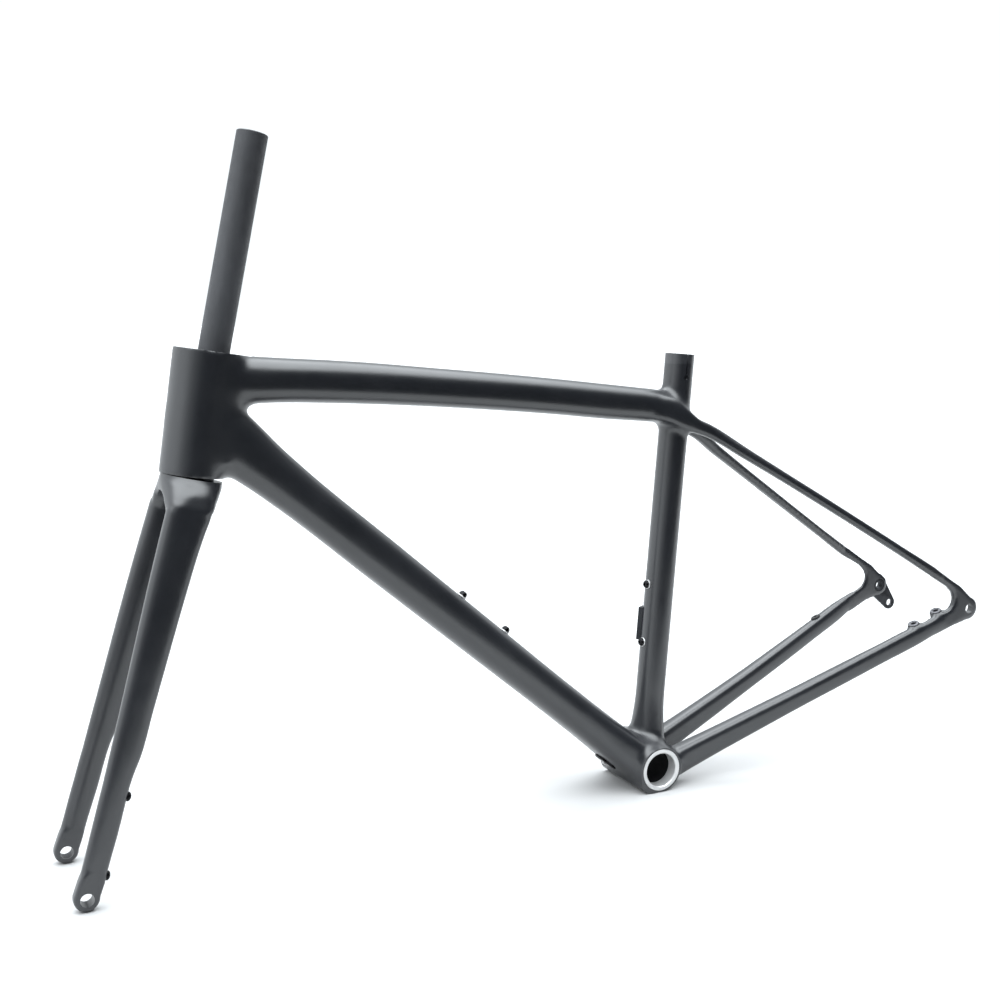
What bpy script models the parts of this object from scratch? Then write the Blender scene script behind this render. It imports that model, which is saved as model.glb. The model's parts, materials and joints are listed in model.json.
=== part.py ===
"""Carbon disc-brake frameset: main frame and steering fork, standing on its fork tips and bottom bracket shell."""

from math import cos, degrees, pi, radians, sin, tan

import bmesh
import bpy
from mathutils import Matrix, Vector

# Lengths are in millimetres and are turned into metres as each mesh is made.
# X points forward, Y to the rider's left, Z up from the floor.
MM = 0.001
GAP = 0.3  # clearance between two pieces that touch
SIDES = 20  # facets round a main tube
ROUND_SIDES = 24  # facets round the head tube, bottom bracket and steerer
SMALL_SIDES = 10  # facets round a screw or an insert

# Bottom bracket axis as seen from the middle of the footprint.
BB_X = -91.88
BB_Z = 24.5
BB_WIDTH = 86.5
BB_SHELL_RADIUS = 24.5
BB_BULGE = 2.5
BB_CHIN = 4.6  # fullness under the front of the shell, where the down tube meets it
SLEEVE_RADIUS = 22.9
SLEEVE_BORE = 18.2
SLEEVE_DEPTH = 14.0
SHELL_BORE = 19.2

# Steering axis: it leans back from the vertical and passes through the crown point.
STEER_LEAN = radians(11.97)
CROWN_POINT = (486.22, 365.89)
STEERER_RADIUS = 14.3
STEERER_BASE_RADIUS = 16.6
STEERER_WALL = 2.6
STEERER_TOP = 314.0
STEERER_FOOT = -12.0

# Head tube, leaning back a little less than the steering axis.
HEAD_LEAN = radians(8.5)
HEAD_FOOT = (486.9, 368.2)
HEAD_LENGTH = 113.1
HEAD_RADIUS = 28.5
HEAD_WALL = 4.0
UPPER_BEARING_RADIUS = 20.9
LOWER_BEARING_RADIUS = 23.5
UPPER_BEARING_BASE = 104.5
LOWER_BEARING_BASE = 3.3
BEARING_HEIGHT = 7.5

# Seat tube for a 27.2 mm seatpost.
SEAT_LEAN = radians(4.83)
SEAT_FOOT_X = -3.63  # where the seat tube's axis would meet the floor
SEAT_RADIUS = 15.7
SEAT_BORE = 13.6
SEAT_TOP = 469.5
SEAT_SLOT_LENGTH = 25.0
SEAT_SLOT_WIDTH = 1.8

# Wheels: 12 mm through axles, 100 mm front hub and 142 mm rear hub.
AXLE_HOLE = 6.15
AXLE_THREAD = 5.2  # core of the M12 thread in the hanger
FRONT_HUB = 100.0
REAR_HUB = 142.0
FRONT_AXLE = (41.2, -371.1)  # along and down the steering frame
FORK_TIP_RADIUS = 11.4
FORK_TIP_WIDTH = 13.8
INSERT_RADIUS = 8.0  # threaded insert in the right fork tip
INSERT_DEPTH = 2.0  # carbon left between it and the hub
REAR_AXLE = (-404.5, 168.5)
REAR_TIP_RADIUS = 13.3
REAR_TIP_WIDTH = 8.6
HANGER_THICKNESS = 3.7
HANGER_HOLE = (-427.2, 142.8)
HANGER_HOLE_RADIUS = 4.2

# Straight down tube, from its axis above the bottom bracket up to the head tube.
DOWN_FOOT_Z = 17.6
DOWN_SLOPE = radians(40.2)

PORT_X = 31.0  # cable port cover under the foot of the down tube
BOTTLE_SPACING = 64.0
MOUNT_Z = 174.0  # front derailleur mount on the seat tube
MOUNT_REACH = 14.6  # from the seat tube's axis to the middle of the mount
DOWN_BOTTLE_X = 206.2  # middle of the two bottle fittings on the down tube
SEAT_BOTTLE_Z = 187.2  # and on the seat tube
FLAT_MOUNT_SPACING = 34.0
BOSS_SLOPE = radians(21.5)
BOSS_LENGTH = 17.0
TUBE_WALL = 1.8
STAY_WALL = 1.4


# ---------------------------------------------------------------- materials
def material(name, colour, roughness, metallic):
    made = bpy.data.materials.new(name)
    made.use_nodes = True
    shader = made.node_tree.nodes["Principled BSDF"]
    shader.inputs["Base Color"].default_value = (*colour, 1.0)
    shader.inputs["Roughness"].default_value = roughness
    shader.inputs["Metallic"].default_value = metallic
    made.diffuse_color = (*colour, 1.0)
    return made


# ---------------------------------------------------------------- mesh helpers
def finish(name, mesh, look, parent, flat=False):
    bmesh.ops.recalc_face_normals(mesh, faces=mesh.faces)
    data = bpy.data.meshes.new(name)
    mesh.to_mesh(data)
    mesh.free()
    if not flat:
        data.shade_smooth()
        data.set_sharp_from_angle(angle=radians(35))
    made = bpy.data.objects.new(name, data)
    bpy.context.collection.objects.link(made)
    made.parent = parent
    if look is not None:
        data.materials.append(look)
    return made


def cutter(made):
    made.hide_render = True
    made.display_type = "WIRE"
    return made


def cut(target, *tools, solver="EXACT"):
    for tool in tools:
        step = target.modifiers.new("cut " + tool.name, "BOOLEAN")
        step.operation = "DIFFERENCE"
        step.solver = solver
        step.object = tool


def join(target, *tools):
    for tool in tools:
        step = target.modifiers.new("join " + tool.name, "BOOLEAN")
        step.operation = "UNION"
        step.solver = "EXACT"
        step.object = tool


def oval(count, power):
    """Points round a superellipse of half-axes 1: power 2 is an ellipse, larger is squarer."""
    points = []
    for index in range(count):
        angle = 2 * pi * (index + 0.5) / count
        across = cos(angle)
        along = sin(angle)
        size = (abs(across) ** power + abs(along) ** power) ** (-1 / power)
        points.append((across * size, along * size))
    return points


def add_ring(mesh, points):
    return [mesh.verts.new(point * MM) for point in points]


def bridge(mesh, first, second):
    count = len(first)
    for index in range(count):
        after = (index + 1) % count
        mesh.faces.new((first[index], first[after], second[after], second[index]))


def section(station, tangent, grow, count):
    """Ring across a path: station is (x, y, z, half height, half width, squareness)."""
    x, y, z, half_up, half_side, power = station
    side = Vector((0, 1, 0))
    side = (side - side.dot(tangent) * tangent).normalized()
    up = side.cross(tangent)
    centre = Vector((x, y, z))
    ring = []
    for across, along in oval(count, power):
        ring.append(centre + side * across * (half_side + grow) + up * along * (half_up + grow))
    return ring


def path_rings(stations, grow, count, square_end=False):
    """Rings down a path; a square end faces straight along the XZ plane."""
    rings = []
    last = len(stations) - 1
    for index, station in enumerate(stations):
        before = Vector(stations[max(index - 1, 0)][:3])
        after = Vector(stations[min(index + 1, last)][:3])
        run = after - before
        if square_end and index == last:
            run.y = 0
        rings.append(section(station, run.normalized(), grow, count))
    return rings


def solid_path(name, stations, parent, look=None, grow=0.0, count=SIDES):
    mesh = bmesh.new()
    rings = [add_ring(mesh, ring) for ring in path_rings(stations, grow, count)]
    for first, second in zip(rings, rings[1:]):
        bridge(mesh, first, second)
    mesh.faces.new(rings[0])
    mesh.faces.new(rings[-1])
    return finish(name, mesh, look, parent)


def hollow_path(name, stations, wall, parent, look, count=SIDES, square_end=False):
    """Tube with an even wall and open ends; its bore is read at every second station."""
    mesh = bmesh.new()
    outer = [add_ring(mesh, ring) for ring in path_rings(stations, 0.0, count, square_end)]
    bore = path_rings(stations, -wall, count, square_end)
    inner = [add_ring(mesh, ring) for ring in bore[:-1:2] + bore[-1:]]
    for skin in (outer, inner):
        for first, second in zip(skin, skin[1:]):
            bridge(mesh, first, second)
    bridge(mesh, outer[0], inner[0])
    bridge(mesh, outer[-1], inner[-1])
    return finish(name, mesh, look, parent)


def level_path(name, levels, parent, look=None, wall=None, count=SIDES):
    """Loft of level ovals: each level is (height, x, y, half length, half width, squareness)."""
    skins = [(0.0, levels)]
    if wall is not None:
        skins.append((wall, levels[:-1:2] + levels[-1:]))
    mesh = bmesh.new()
    ends = []
    for inset, rows in skins:
        rings = []
        for height, x, y, half_x, half_y, power in rows:
            points = [
                Vector((x + across * (half_x - inset), y + along * (half_y - inset), height))
                for across, along in oval(count, power)
            ]
            rings.append(add_ring(mesh, points))
        for first, second in zip(rings, rings[1:]):
            bridge(mesh, first, second)
        ends.append((rings[0], rings[-1]))
    for end in (0, 1):
        if wall is None:
            mesh.faces.new(ends[0][end])
        else:
            bridge(mesh, ends[0][end], ends[1][end])
    return finish(name, mesh, look, parent)


def turned(name, profile, parent, look=None, at=(0, 0, 0), axis=(0, 0, 1), count=SIDES):
    """Body turned from a closed (radius, height) profile; a radius of 0 makes a solid end."""
    mesh = bmesh.new()
    rings = []
    for radius, height in profile:
        if radius == 0:
            rings.append([mesh.verts.new(Vector((0, 0, height)) * MM)])
            continue
        points = []
        for index in range(count):
            angle = 2 * pi * (index + 0.5) / count
            points.append(Vector((radius * cos(angle), radius * sin(angle), height)))
        rings.append(add_ring(mesh, points))
    for first, second in zip(rings, rings[1:] + rings[:1]):
        if len(first) == 1 and len(second) == 1:
            continue
        if len(first) == 1 or len(second) == 1:
            tip = first[0] if len(first) == 1 else second[0]
            rim = second if len(first) == 1 else first
            for index in range(count):
                mesh.faces.new((tip, rim[index], rim[(index + 1) % count]))
            continue
        bridge(mesh, first, second)
    made = finish(name, mesh, look, parent)
    made.rotation_mode = "QUATERNION"
    made.rotation_quaternion = Vector((0, 0, 1)).rotation_difference(Vector(axis))
    made.location = Vector(at) * MM
    return made


def rod(name, radius, low, high, parent, at=(0, 0, 0), axis=(0, 0, 1), look=None, count=SIDES):
    profile = [(0, low), (radius, low), (radius, high), (0, high)]
    return turned(name, profile, parent, look, at, axis, count)


def washer(name, bore, radius, low, high, parent, look, at=(0, 0, 0), axis=(0, 0, 1), count=SIDES):
    profile = [(bore, low), (radius, low), (radius, high), (bore, high)]
    return turned(name, profile, parent, look, at, axis, count)


def plate(name, outline, near, far, parent, look=None):
    """Flat plate: an (x, z) outline carried from y = near to y = far."""
    mesh = bmesh.new()
    rims = []
    for y in (near, far):
        rims.append(add_ring(mesh, [Vector((x, y, z)) for x, z in outline]))
    bridge(mesh, rims[0], rims[1])
    mesh.faces.new(rims[0])
    mesh.faces.new(rims[1])
    return finish(name, mesh, look, parent)


def arc(centre, radius, start, end, count):
    """Points on a circle in the XZ plane, from one angle to another in degrees."""
    points = []
    for index in range(count):
        angle = radians(start + (end - start) * index / (count - 1))
        points.append((centre[0] + radius * cos(angle), centre[1] + radius * sin(angle)))
    return points


def bezier(first, middle, last, t):
    a, b, c = Vector(first), Vector(middle), Vector(last)
    return a * (1 - t) ** 2 + b * 2 * t * (1 - t) + c * t * t


def blend(table, value):
    """Value read between the rows of a short (position, size) table."""
    for (low, first), (high, second) in zip(table, table[1:]):
        if value <= high:
            share = max(0.0, (value - low) / (high - low))
            return first + (second - first) * share
    return table[-1][1]


def axes(x_axis, z_axis):
    """Rotation that lays local X and Z along two square directions."""
    y_axis = z_axis.cross(x_axis)
    return Matrix((x_axis, y_axis, z_axis)).transposed().to_quaternion()


# ---------------------------------------------------------------- datums
def datum(name, location, lean):
    """Empty that carries a group of parts; lean tips its local Z towards the rear."""
    made = bpy.data.objects.new(name, None)
    made.location = Vector(location) * MM
    made.rotation_euler = (0, -lean, 0)
    made.empty_display_size = 0.05
    bpy.context.collection.objects.link(made)
    return made


# ---------------------------------------------------------------- head of the frame
def head_levels(inset=0.0, low=0.0, high=HEAD_LENGTH, chamfer=1.0):
    """Outer shape of the head tube: round below, longer towards the rear at the top seat."""
    rear_growth = [(0.0, 0.0), (60.0, 0.0), (85.0, 1.2), (100.0, 2.8), (HEAD_LENGTH, 3.5)]
    heights = [low, low + 1.2, 60.0, 85.0, 100.0, high - 1.2, high]
    levels = []
    for index, height in enumerate(heights):
        edge = chamfer if index in (0, len(heights) - 1) else 0.0
        shift = blend(rear_growth, height)
        half_x = HEAD_RADIUS + shift - inset - edge
        half_y = HEAD_RADIUS - inset - edge
        levels.append((height, -shift, 0.0, half_x, half_y, 2.0))
    return levels


def make_head_tube(head, steering, carbon):
    tube = level_path("head_tube", head_levels(), head, carbon, count=ROUND_SIDES)
    lower_seat = LOWER_BEARING_RADIUS + GAP
    upper_seat = UPPER_BEARING_RADIUS + GAP
    lower_floor = LOWER_BEARING_BASE + BEARING_HEIGHT + GAP
    upper_floor = UPPER_BEARING_BASE - GAP
    bore = 18.6
    profile = [(0, -12), (lower_seat, -12), (lower_seat, lower_floor), (bore, lower_floor)]
    profile += [(bore, upper_floor), (upper_seat, upper_floor), (upper_seat, 130), (0, 130)]
    seats = cutter(turned("cut_headset", profile, steering, count=ROUND_SIDES))
    cavity_levels = []
    for height in (15.0, 94.0):
        cavity_levels.append((height, 0.0, 0.0, HEAD_RADIUS - HEAD_WALL, HEAD_RADIUS - HEAD_WALL, 2.0))
    cavity = cutter(level_path("cut_head_cavity", cavity_levels, head))
    cut(tube, seats, cavity)
    return tube


def make_headset(steering_fixed, steering, steel, aluminium):
    """Two bearings as outer and inner rings, a crown race under and a split ring on top."""
    low = LOWER_BEARING_BASE
    top = low + BEARING_HEIGHT
    washer("lower_bearing_outer", 20.9, LOWER_BEARING_RADIUS, low, top, steering_fixed, steel)
    washer("lower_bearing_inner", 17.1, 19.3, low, top, steering, steel)
    washer("crown_race", 17.1, 20.2, GAP, low - GAP, steering, aluminium)
    low = UPPER_BEARING_BASE
    top = low + BEARING_HEIGHT
    washer("upper_bearing_outer", 18.9, UPPER_BEARING_RADIUS, low, top, steering_fixed, steel)
    washer("upper_bearing_inner", 15.1, 17.4, low, top, steering, steel)
    ring = [(14.7, top + GAP), (16.9, top + GAP), (16.9, top + 1.3), (14.7, top + 3.0)]
    turned("compression_ring", ring, steering, aluminium)


# ---------------------------------------------------------------- main triangle
def down_tube_stations():
    """Straight tube that widens from the head tube to the full bottom bracket."""
    heights = [(0, 21.0), (25, 20.6), (60, 20.0), (100, 19.9), (200, 20.7), (300, 21.6)]
    heights += [(385, 22.3), (408, 23.0), (425, 25.0), (445, 28.0), (470, 30.5)]
    widths = [(0, 42.6), (25, 39.5), (60, 32.6), (100, 28.0), (200, 24.0), (300, 22.0)]
    widths += [(400, 21.6), (440, 23.0), (470, 25.5)]
    squareness = [(0, 4.2), (25, 3.6), (60, 2.8), (100, 2.4), (200, 2.3)]
    stations = []
    for x in (2, 25, 60, 100, 200, 300, 395, 420, 440, 462):
        z = DOWN_FOOT_Z + x * tan(DOWN_SLOPE)
        stations.append((x, 0.0, z, blend(heights, x), blend(widths, x), blend(squareness, x)))
    return stations


def top_tube_stations():
    """Gently arched tube that drops and narrows from the head tube to the seat tube."""
    centres = [(8, 416.9), (44, 420.6), (115, 428.6), (184, 435.5), (250, 441.4), (312, 446.5)]
    centres += [(362, 449.7), (400, 451.6), (430, 452.6), (466, 453.6)]
    heights = [(8, 17.6), (44, 18.1), (115, 18.2), (184, 18.5), (250, 18.9), (312, 19.7)]
    heights += [(362, 20.2), (400, 20.6), (430, 21.8), (446, 23.0), (466, 25.5)]
    widths = [(8, 18.0), (115, 18.4), (250, 19.6), (362, 21.2), (430, 22.6), (466, 25.0)]
    stations = []
    for x in (8, 44, 115, 184, 250, 312, 362, 400, 430, 447, 466):
        stations.append((x, 0.0, blend(centres, x), blend(heights, x), blend(widths, x), 2.4))
    return stations


def seat_axis_x(height):
    return SEAT_FOOT_X - height * tan(SEAT_LEAN)


def seat_stations(radius):
    """Round seat tube whose foot flares forward and sideways over the bottom bracket."""
    flare = [(28, 5.5), (38, 4.0), (52, 2.8), (75, 0.8), (100, 0.0)]
    spread = [(28, 14.0), (38, 10.0), (52, 6.0), (75, 1.8), (100, 0.0)]
    stations = []
    for height in (28, 38, 52, 75, 100, SEAT_TOP):
        half_x = radius + blend(flare, height)
        half_y = radius + blend(spread, height)
        stations.append((seat_axis_x(height), 0.0, height, half_x, half_y, 2.0))
    return stations


def make_seat_tube(frame, carbon):
    tube = solid_path("seat_tube", seat_stations(SEAT_RADIUS), frame, carbon)
    lean = (-sin(SEAT_LEAN), 0, cos(SEAT_LEAN))
    foot = (seat_axis_x(0), 0, 0)
    bore = cutter(rod("cut_seatpost_bore", SEAT_BORE, 10, 500, frame, foot, lean))
    slot_foot = (SEAT_TOP - SEAT_SLOT_LENGTH) / cos(SEAT_LEAN)
    slot = cutter(box("cut_seat_slot", SEAT_SLOT_WIDTH, 60, 60, frame))
    slot.location = (Vector(foot) + Vector(lean) * (slot_foot + 30)) * MM
    slot.rotation_euler = (0, -SEAT_LEAN, 0)
    keyhole_at = Vector(foot) + Vector(lean) * slot_foot
    keyhole = cutter(rod("cut_seat_keyhole", 2.0, -30, 30, frame, keyhole_at, (0, 1, 0), count=12))
    cut(tube, bore, slot, keyhole)
    return tube


def box(name, length, width, height, parent, look=None):
    mesh = bmesh.new()
    bmesh.ops.create_cube(mesh, size=1.0)
    bmesh.ops.scale(mesh, vec=Vector((length, width, height)) * MM, verts=mesh.verts)
    return finish(name, mesh, look, parent, flat=True)


# ---------------------------------------------------------------- seat cluster and rear end
SEATSTAY = ((-59.4, 15.1, 392.9), (-216.3, 56.5, 298.4), (-378.7, 80.5, 197.6))
CHAINSTAY = ((-33.5, 24.8, 26.0), (-213.3, 48.0, 93.6), (-388.0, 78.3, 164.2))
SEATSTAY_START = 0.03
SEATSTAY_END = 0.90
CHAINSTAY_START = -0.06
CHAINSTAY_END = 0.86


def seatstay_stations(side):
    heights = [(0.0, 7.6), (0.12, 6.2), (0.3, 5.3), (0.6, 5.0), (0.8, 5.0), (0.9, 5.6)]
    widths = [(0.0, 6.2), (0.12, 6.4), (0.5, 6.6), (0.9, 5.2)]
    stations = []
    count = 7
    for index in range(count):
        t = SEATSTAY_START + (SEATSTAY_END - SEATSTAY_START) * index / (count - 1)
        point = bezier(*SEATSTAY, t)
        stations.append((point.x, side * point.y, point.z, blend(heights, t), blend(widths, t), 2.5))
    return stations


def chainstay_stations(side):
    heights = [(-0.06, 16.0), (0.05, 14.3), (0.2, 12.8), (0.4, 11.2), (0.6, 10.9), (0.86, 10.4)]
    widths = [(-0.06, 13.0), (0.05, 10.5), (0.2, 9.6), (0.5, 8.4), (0.86, 6.2)]
    stations = []
    count = 7
    for index in range(count):
        t = CHAINSTAY_START + (CHAINSTAY_END - CHAINSTAY_START) * index / (count - 1)
        point = bezier(*CHAINSTAY, t)
        stations.append((point.x, side * point.y, point.z, blend(heights, t), blend(widths, t), 3.4))
    return stations


def cluster_arm(side):
    """Shoulder that carries the top tube's side round the seat tube to a seatstay."""
    stay = seatstay_stations(1)
    start = Vector(stay[0][:3])
    run = (Vector(stay[1][:3]) - start).normalized()
    rows = [(2.0, 8.0, 415.6, 14.0, 9.0), (-8.0, 10.5, 414.0, 14.2, 8.4), (-23.0, 15.2, 410.2, 13.6, 7.4)]
    rows += [(-34.0, 17.8, 404.6, 13.0, 6.4), (-44.0, 18.4, 398.6, 11.4, 5.8), (-52.0, 17.8, 394.4, 9.4, 5.9)]
    rows += [(*(start - run * 4.0), 8.0, 6.2), (*(start - run * GAP), 7.4, 6.2)]
    return [(x, side * y, z, tall, wide, 2.4) for x, y, z, tall, wide in rows]


def make_seat_cluster(frame, carbon):
    body = solid_path(
        "seat_cluster",
        [
            (8 - GAP, 0, 416.9, 17.6, 18.0, 2.4),
            (-8, 0, 415.25, 17.4, 18.6, 2.4),
            (-24, 0, 412.6, 16.6, 18.8, 2.3),
            (-36, 0, 409.5, 13.0, 17.0, 2.3),
        ],
        frame,
        carbon,
    )
    left = cutter(solid_path("join_cluster_left", cluster_arm(1), frame, count=16))
    right = cutter(solid_path("join_cluster_right", cluster_arm(-1), frame, count=16))
    bridge_row = [(-59.0, y, 392.6, 6.4, 5.5, 2.2) for y in (-16, 0, 16)]
    rear_bridge = cutter(solid_path("join_cluster_bridge", across(bridge_row), frame, count=12))
    join(body, left, right, rear_bridge)
    sleeve = cutter(
        solid_path("cut_cluster_seat", seat_stations(SEAT_RADIUS + GAP), frame)
    )
    cut(body, sleeve)
    return body


def across(stations):
    """Stations of a path that runs along Y, nudged so that its sections face sideways."""
    return [(x + 0.001 * y, y, z, up, side, power) for x, y, z, up, side, power in stations]


def end_corners(station, before):
    """Upper and lower corner of a stay's end face, seen from the side."""
    run = Vector((station[0] - before[0], 0, station[2] - before[2])).normalized()
    up = Vector((-run.z, 0, run.x))
    if up.z < 0:
        up = -up
    centre = Vector((station[0], 0, station[2])) + run * GAP
    top = centre + up * station[3]
    low = centre - up * station[3]
    return (top.x, top.z), (low.x, low.z)


def rear_dropout_outline():
    """Plate between the stay ends and the axle, with a rounded throat."""
    seat = seatstay_stations(1)
    chain = chainstay_stations(1)
    seat_top, seat_low = end_corners(seat[-1], seat[-2])
    chain_top, chain_low = end_corners(chain[-1], chain[-2])
    outline = [seat_top, (-376.2, 204.8), (-390.7, 196.2)]
    outline += arc(REAR_AXLE, REAR_TIP_RADIUS, 104, 275, 12)
    outline += [(-382.6, 150.2), chain_low, chain_top]
    outline += [(-352.0, 160.2), (-366.0, 165.6), (-376.4, 170.2), (-380.8, 176.2), (-381.6, 183.0)]
    outline += [(-378.6, 190.0), (-371.0, 197.0), seat_low]
    return outline


def follow_chainstay(data, side):
    """Bends a dropout plate inwards towards the end of the chainstay."""
    mesh = bmesh.new()
    mesh.from_mesh(data)
    for x in (-352, -362, -372, -382, -392):
        everything = mesh.verts[:] + mesh.edges[:] + mesh.faces[:]
        bmesh.ops.bisect_plane(mesh, geom=everything, plane_co=Vector((x, 0, 0)) * MM, plane_no=(1, 0, 0))
    bmesh.ops.triangulate(mesh, faces=mesh.faces)
    for vertex in mesh.verts:
        reach = min(max((vertex.co.x / MM + 394.0) / 46.0, 0.0), 1.0)
        low = min(max((200.0 - vertex.co.z / MM) / 45.0, 0.0), 1.0)
        vertex.co.y -= side * 4.0 * low * reach * reach * (3 - 2 * reach) * MM
    mesh.to_mesh(data)
    mesh.free()


def make_rear_dropout(side, frame, carbon):
    inner = REAR_HUB / 2
    outer = inner + REAR_TIP_WIDTH
    if side < 0:
        outer -= HANGER_THICKNESS + GAP
    name = "rear_dropout_left" if side > 0 else "rear_dropout_right"
    made = plate(name, rear_dropout_outline(), side * inner, side * outer, frame, carbon)
    follow_chainstay(made.data, side)
    at = (REAR_AXLE[0], 0, REAR_AXLE[1])
    hole_name = "cut_axle_" + name
    radius = AXLE_HOLE if side > 0 else 8.3
    hole = cutter(rod(hole_name, radius, side * 60, side * 90, frame, at, (0, 1, 0)))
    cut(made, hole)
    return made


def make_hanger(frame, aluminium):
    """Derailleur hanger outside the right dropout, its threaded nose in the axle hole."""
    outer = REAR_HUB / 2 + REAR_TIP_WIDTH
    inner = outer - HANGER_THICKNESS
    outline = arc(REAR_AXLE, REAR_TIP_RADIUS + 1.0, -62, 155, 12)
    outline += arc(HANGER_HOLE, 8.6, 160, 325, 9)
    hanger = plate("derailleur_hanger", outline, -inner, -outer, frame, aluminium)
    at = (REAR_AXLE[0], 0, REAR_AXLE[1])
    nose = cutter(rod("join_hanger_nose", 8.0, 71.2, outer + 0.9, frame, at, (0, -1, 0)))
    join(hanger, nose)
    thread = cutter(rod("cut_hanger_thread", AXLE_THREAD, 60, 90, frame, at, (0, -1, 0)))
    low = (HANGER_HOLE[0], 0, HANGER_HOLE[1])
    hole = cutter(rod("cut_hanger_hole", HANGER_HOLE_RADIUS, 60, 90, frame, low, (0, -1, 0)))
    cut(hanger, thread, hole)
    return hanger


def screw_profile(head_radius, head_height, shank_radius, shank_length, socket_radius, socket_depth):
    """Button-head screw: local Z points out of the head, the head's seat is at 0."""
    profile = [(0, -shank_length), (shank_radius, -shank_length), (shank_radius, 0)]
    profile += [(head_radius, 0), (head_radius, head_height * 0.4)]
    profile += [(head_radius * 0.66, head_height), (socket_radius, head_height)]
    profile += [(socket_radius, head_height - socket_depth), (0, head_height - socket_depth)]
    return profile


# ---------------------------------------------------------------- fork
def blade_levels(side):
    """Blade ovals down the steering frame: front and rear edges, offset from the middle, thickness."""
    rows = [
        (28.0, 25.3, -17.4, 33.2, 10.4),
        (44.0, 26.6, -13.2, 34.6, 10.2),
        (60.0, 28.0, -9.6, 36.0, 10.0),
        (96.0, 31.0, -3.7, 39.4, 9.5),
        (132.0, 33.6, 1.0, 42.6, 9.0),
        (168.0, 36.0, 5.4, 45.6, 8.5),
        (204.0, 38.4, 9.7, 48.3, 8.0),
        (246.0, 41.4, 14.5, 51.2, 7.6),
        (262.0, 42.5, 18.2, 52.2, 7.5),
        (274.0, 43.4, 20.0, 53.0, 7.3),
        (306.0, 46.1, 22.6, 54.8, 7.1),
        (340.0, 48.6, 26.4, 56.6, 6.9),
    ]
    levels = []
    for down, front, rear, y, half_y in rows:
        half_x = (front - rear) / 2
        levels.append((-down, (front + rear) / 2, side * y, half_x, half_y, 2.5))
    return levels


def make_fork_blade(side, steering, carbon):
    name = "fork_blade_left" if side > 0 else "fork_blade_right"
    return level_path(name, blade_levels(side), steering, carbon, wall=2.4)


def make_crown(steering, carbon):
    """Shoulders that spread from the round crown seat to the two blades, over a tyre arch."""
    levels = [
        (0.0, 0.0, 0.0, 27.0, 27.0, 2.0),
        (-1.0, 0.0, 0.0, 28.0, 28.0, 2.0),
        (-6.0, 0.6, 0.0, 27.4, 30.6, 2.1),
        (-12.0, 1.6, 0.0, 25.6, 36.4, 2.3),
        (-19.0, 2.5, 0.0, 23.6, 41.2, 2.8),
        (-(28.0 - GAP), 3.95, 0.0, 21.35, 43.5, 3.6),
    ]
    crown = level_path("fork_crown", levels, steering, carbon, count=ROUND_SIDES)
    arch_radius = 30.0
    arch_top = -15.5
    arch = cutter(rod("cut_tyre_arch", arch_radius, -60, 60, steering, (0, 0, arch_top - arch_radius), (1, 0, 0)))
    socket = cutter(rod("cut_steerer_socket", STEERER_BASE_RADIUS + GAP, STEERER_FOOT - GAP, 10, steering))
    cut(crown, arch, socket)
    return crown


def make_steerer(steering, raw_carbon):
    inner = STEERER_RADIUS - STEERER_WALL
    profile = [(inner, STEERER_FOOT), (STEERER_BASE_RADIUS, STEERER_FOOT), (STEERER_BASE_RADIUS, 13.0)]
    profile += [(STEERER_RADIUS, 44.0), (STEERER_RADIUS, STEERER_TOP), (inner, STEERER_TOP)]
    return turned("steerer_tube", profile, steering, raw_carbon, count=ROUND_SIDES)


def make_fork_dropout(side, steering, carbon):
    name = "fork_dropout_left" if side > 0 else "fork_dropout_right"
    top = -(340.0 + GAP)
    lowest = 270 - degrees(STEER_LEAN)
    tip = arc(FRONT_AXLE, FORK_TIP_RADIUS, lowest - 90, lowest + 105, 14)
    outline = [(48.6, top), (26.4, top), (28.4, top - 14.0)] + tip + [(50.6, top - 14.0)]
    inner = FRONT_HUB / 2
    outer = inner + FORK_TIP_WIDTH
    made = plate(name, outline, side * inner, side * outer, steering, carbon)
    at = (FRONT_AXLE[0], 0, FRONT_AXLE[1])
    hole = cutter(rod("cut_" + name, AXLE_HOLE, 40, 80, steering, at, (0, side, 0)))
    cut(made, hole)
    if side < 0:
        seat = rod("cut_insert_seat", INSERT_RADIUS + GAP, inner + INSERT_DEPTH, 80, steering, at, (0, side, 0))
        cut(made, cutter(seat))
    return made


def make_caliper_screws(steering, blade, tip, black):
    """Two screws in the rear face of the left leg, 70 mm apart."""
    profile = screw_profile(4.4, 2.6, 2.3, 7.0, 1.9, 1.6)
    for name, down, edge, target in (("upper", 281.0, 20.6, blade), ("lower", 351.0, 27.5, tip)):
        at = (edge - GAP, blend([(246, 51.2), (340, 56.6)], down), -down)
        axis = Vector((-1.0, 0.0, -0.075)).normalized()
        turned("caliper_screw_" + name, profile, steering, black, at, axis, SMALL_SIDES)
        hole = cutter(rod("cut_caliper_" + name, 2.6, -10, 10, steering, at, axis, count=SMALL_SIDES))
        cut(target, hole)


# ---------------------------------------------------------------- small fittings
def make_bottle_fitting(name, at, outward, head_height, frame, tube, black, aluminium):
    """Threaded insert with a thin flange on the tube, and the screw that fills it."""
    insert = [(2.8, -7.0), (3.5, -7.0), (3.5, GAP), (4.9, GAP), (4.9, 1.1), (2.8, 1.1)]
    turned("bottle_insert_" + name, insert, frame, aluminium, at, outward, SMALL_SIDES)
    seat = Vector(at) + Vector(outward) * (1.1 + GAP)
    profile = screw_profile(4.4, head_height, 2.4, 9.0, 1.7, 2.0)
    turned("bottle_screw_" + name, profile, frame, black, seat, outward, SMALL_SIDES)
    hole = cutter(rod("cut_bottle_" + name, 3.8, -6, 6, frame, at, outward, count=SMALL_SIDES))
    cut(tube, hole)


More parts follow.
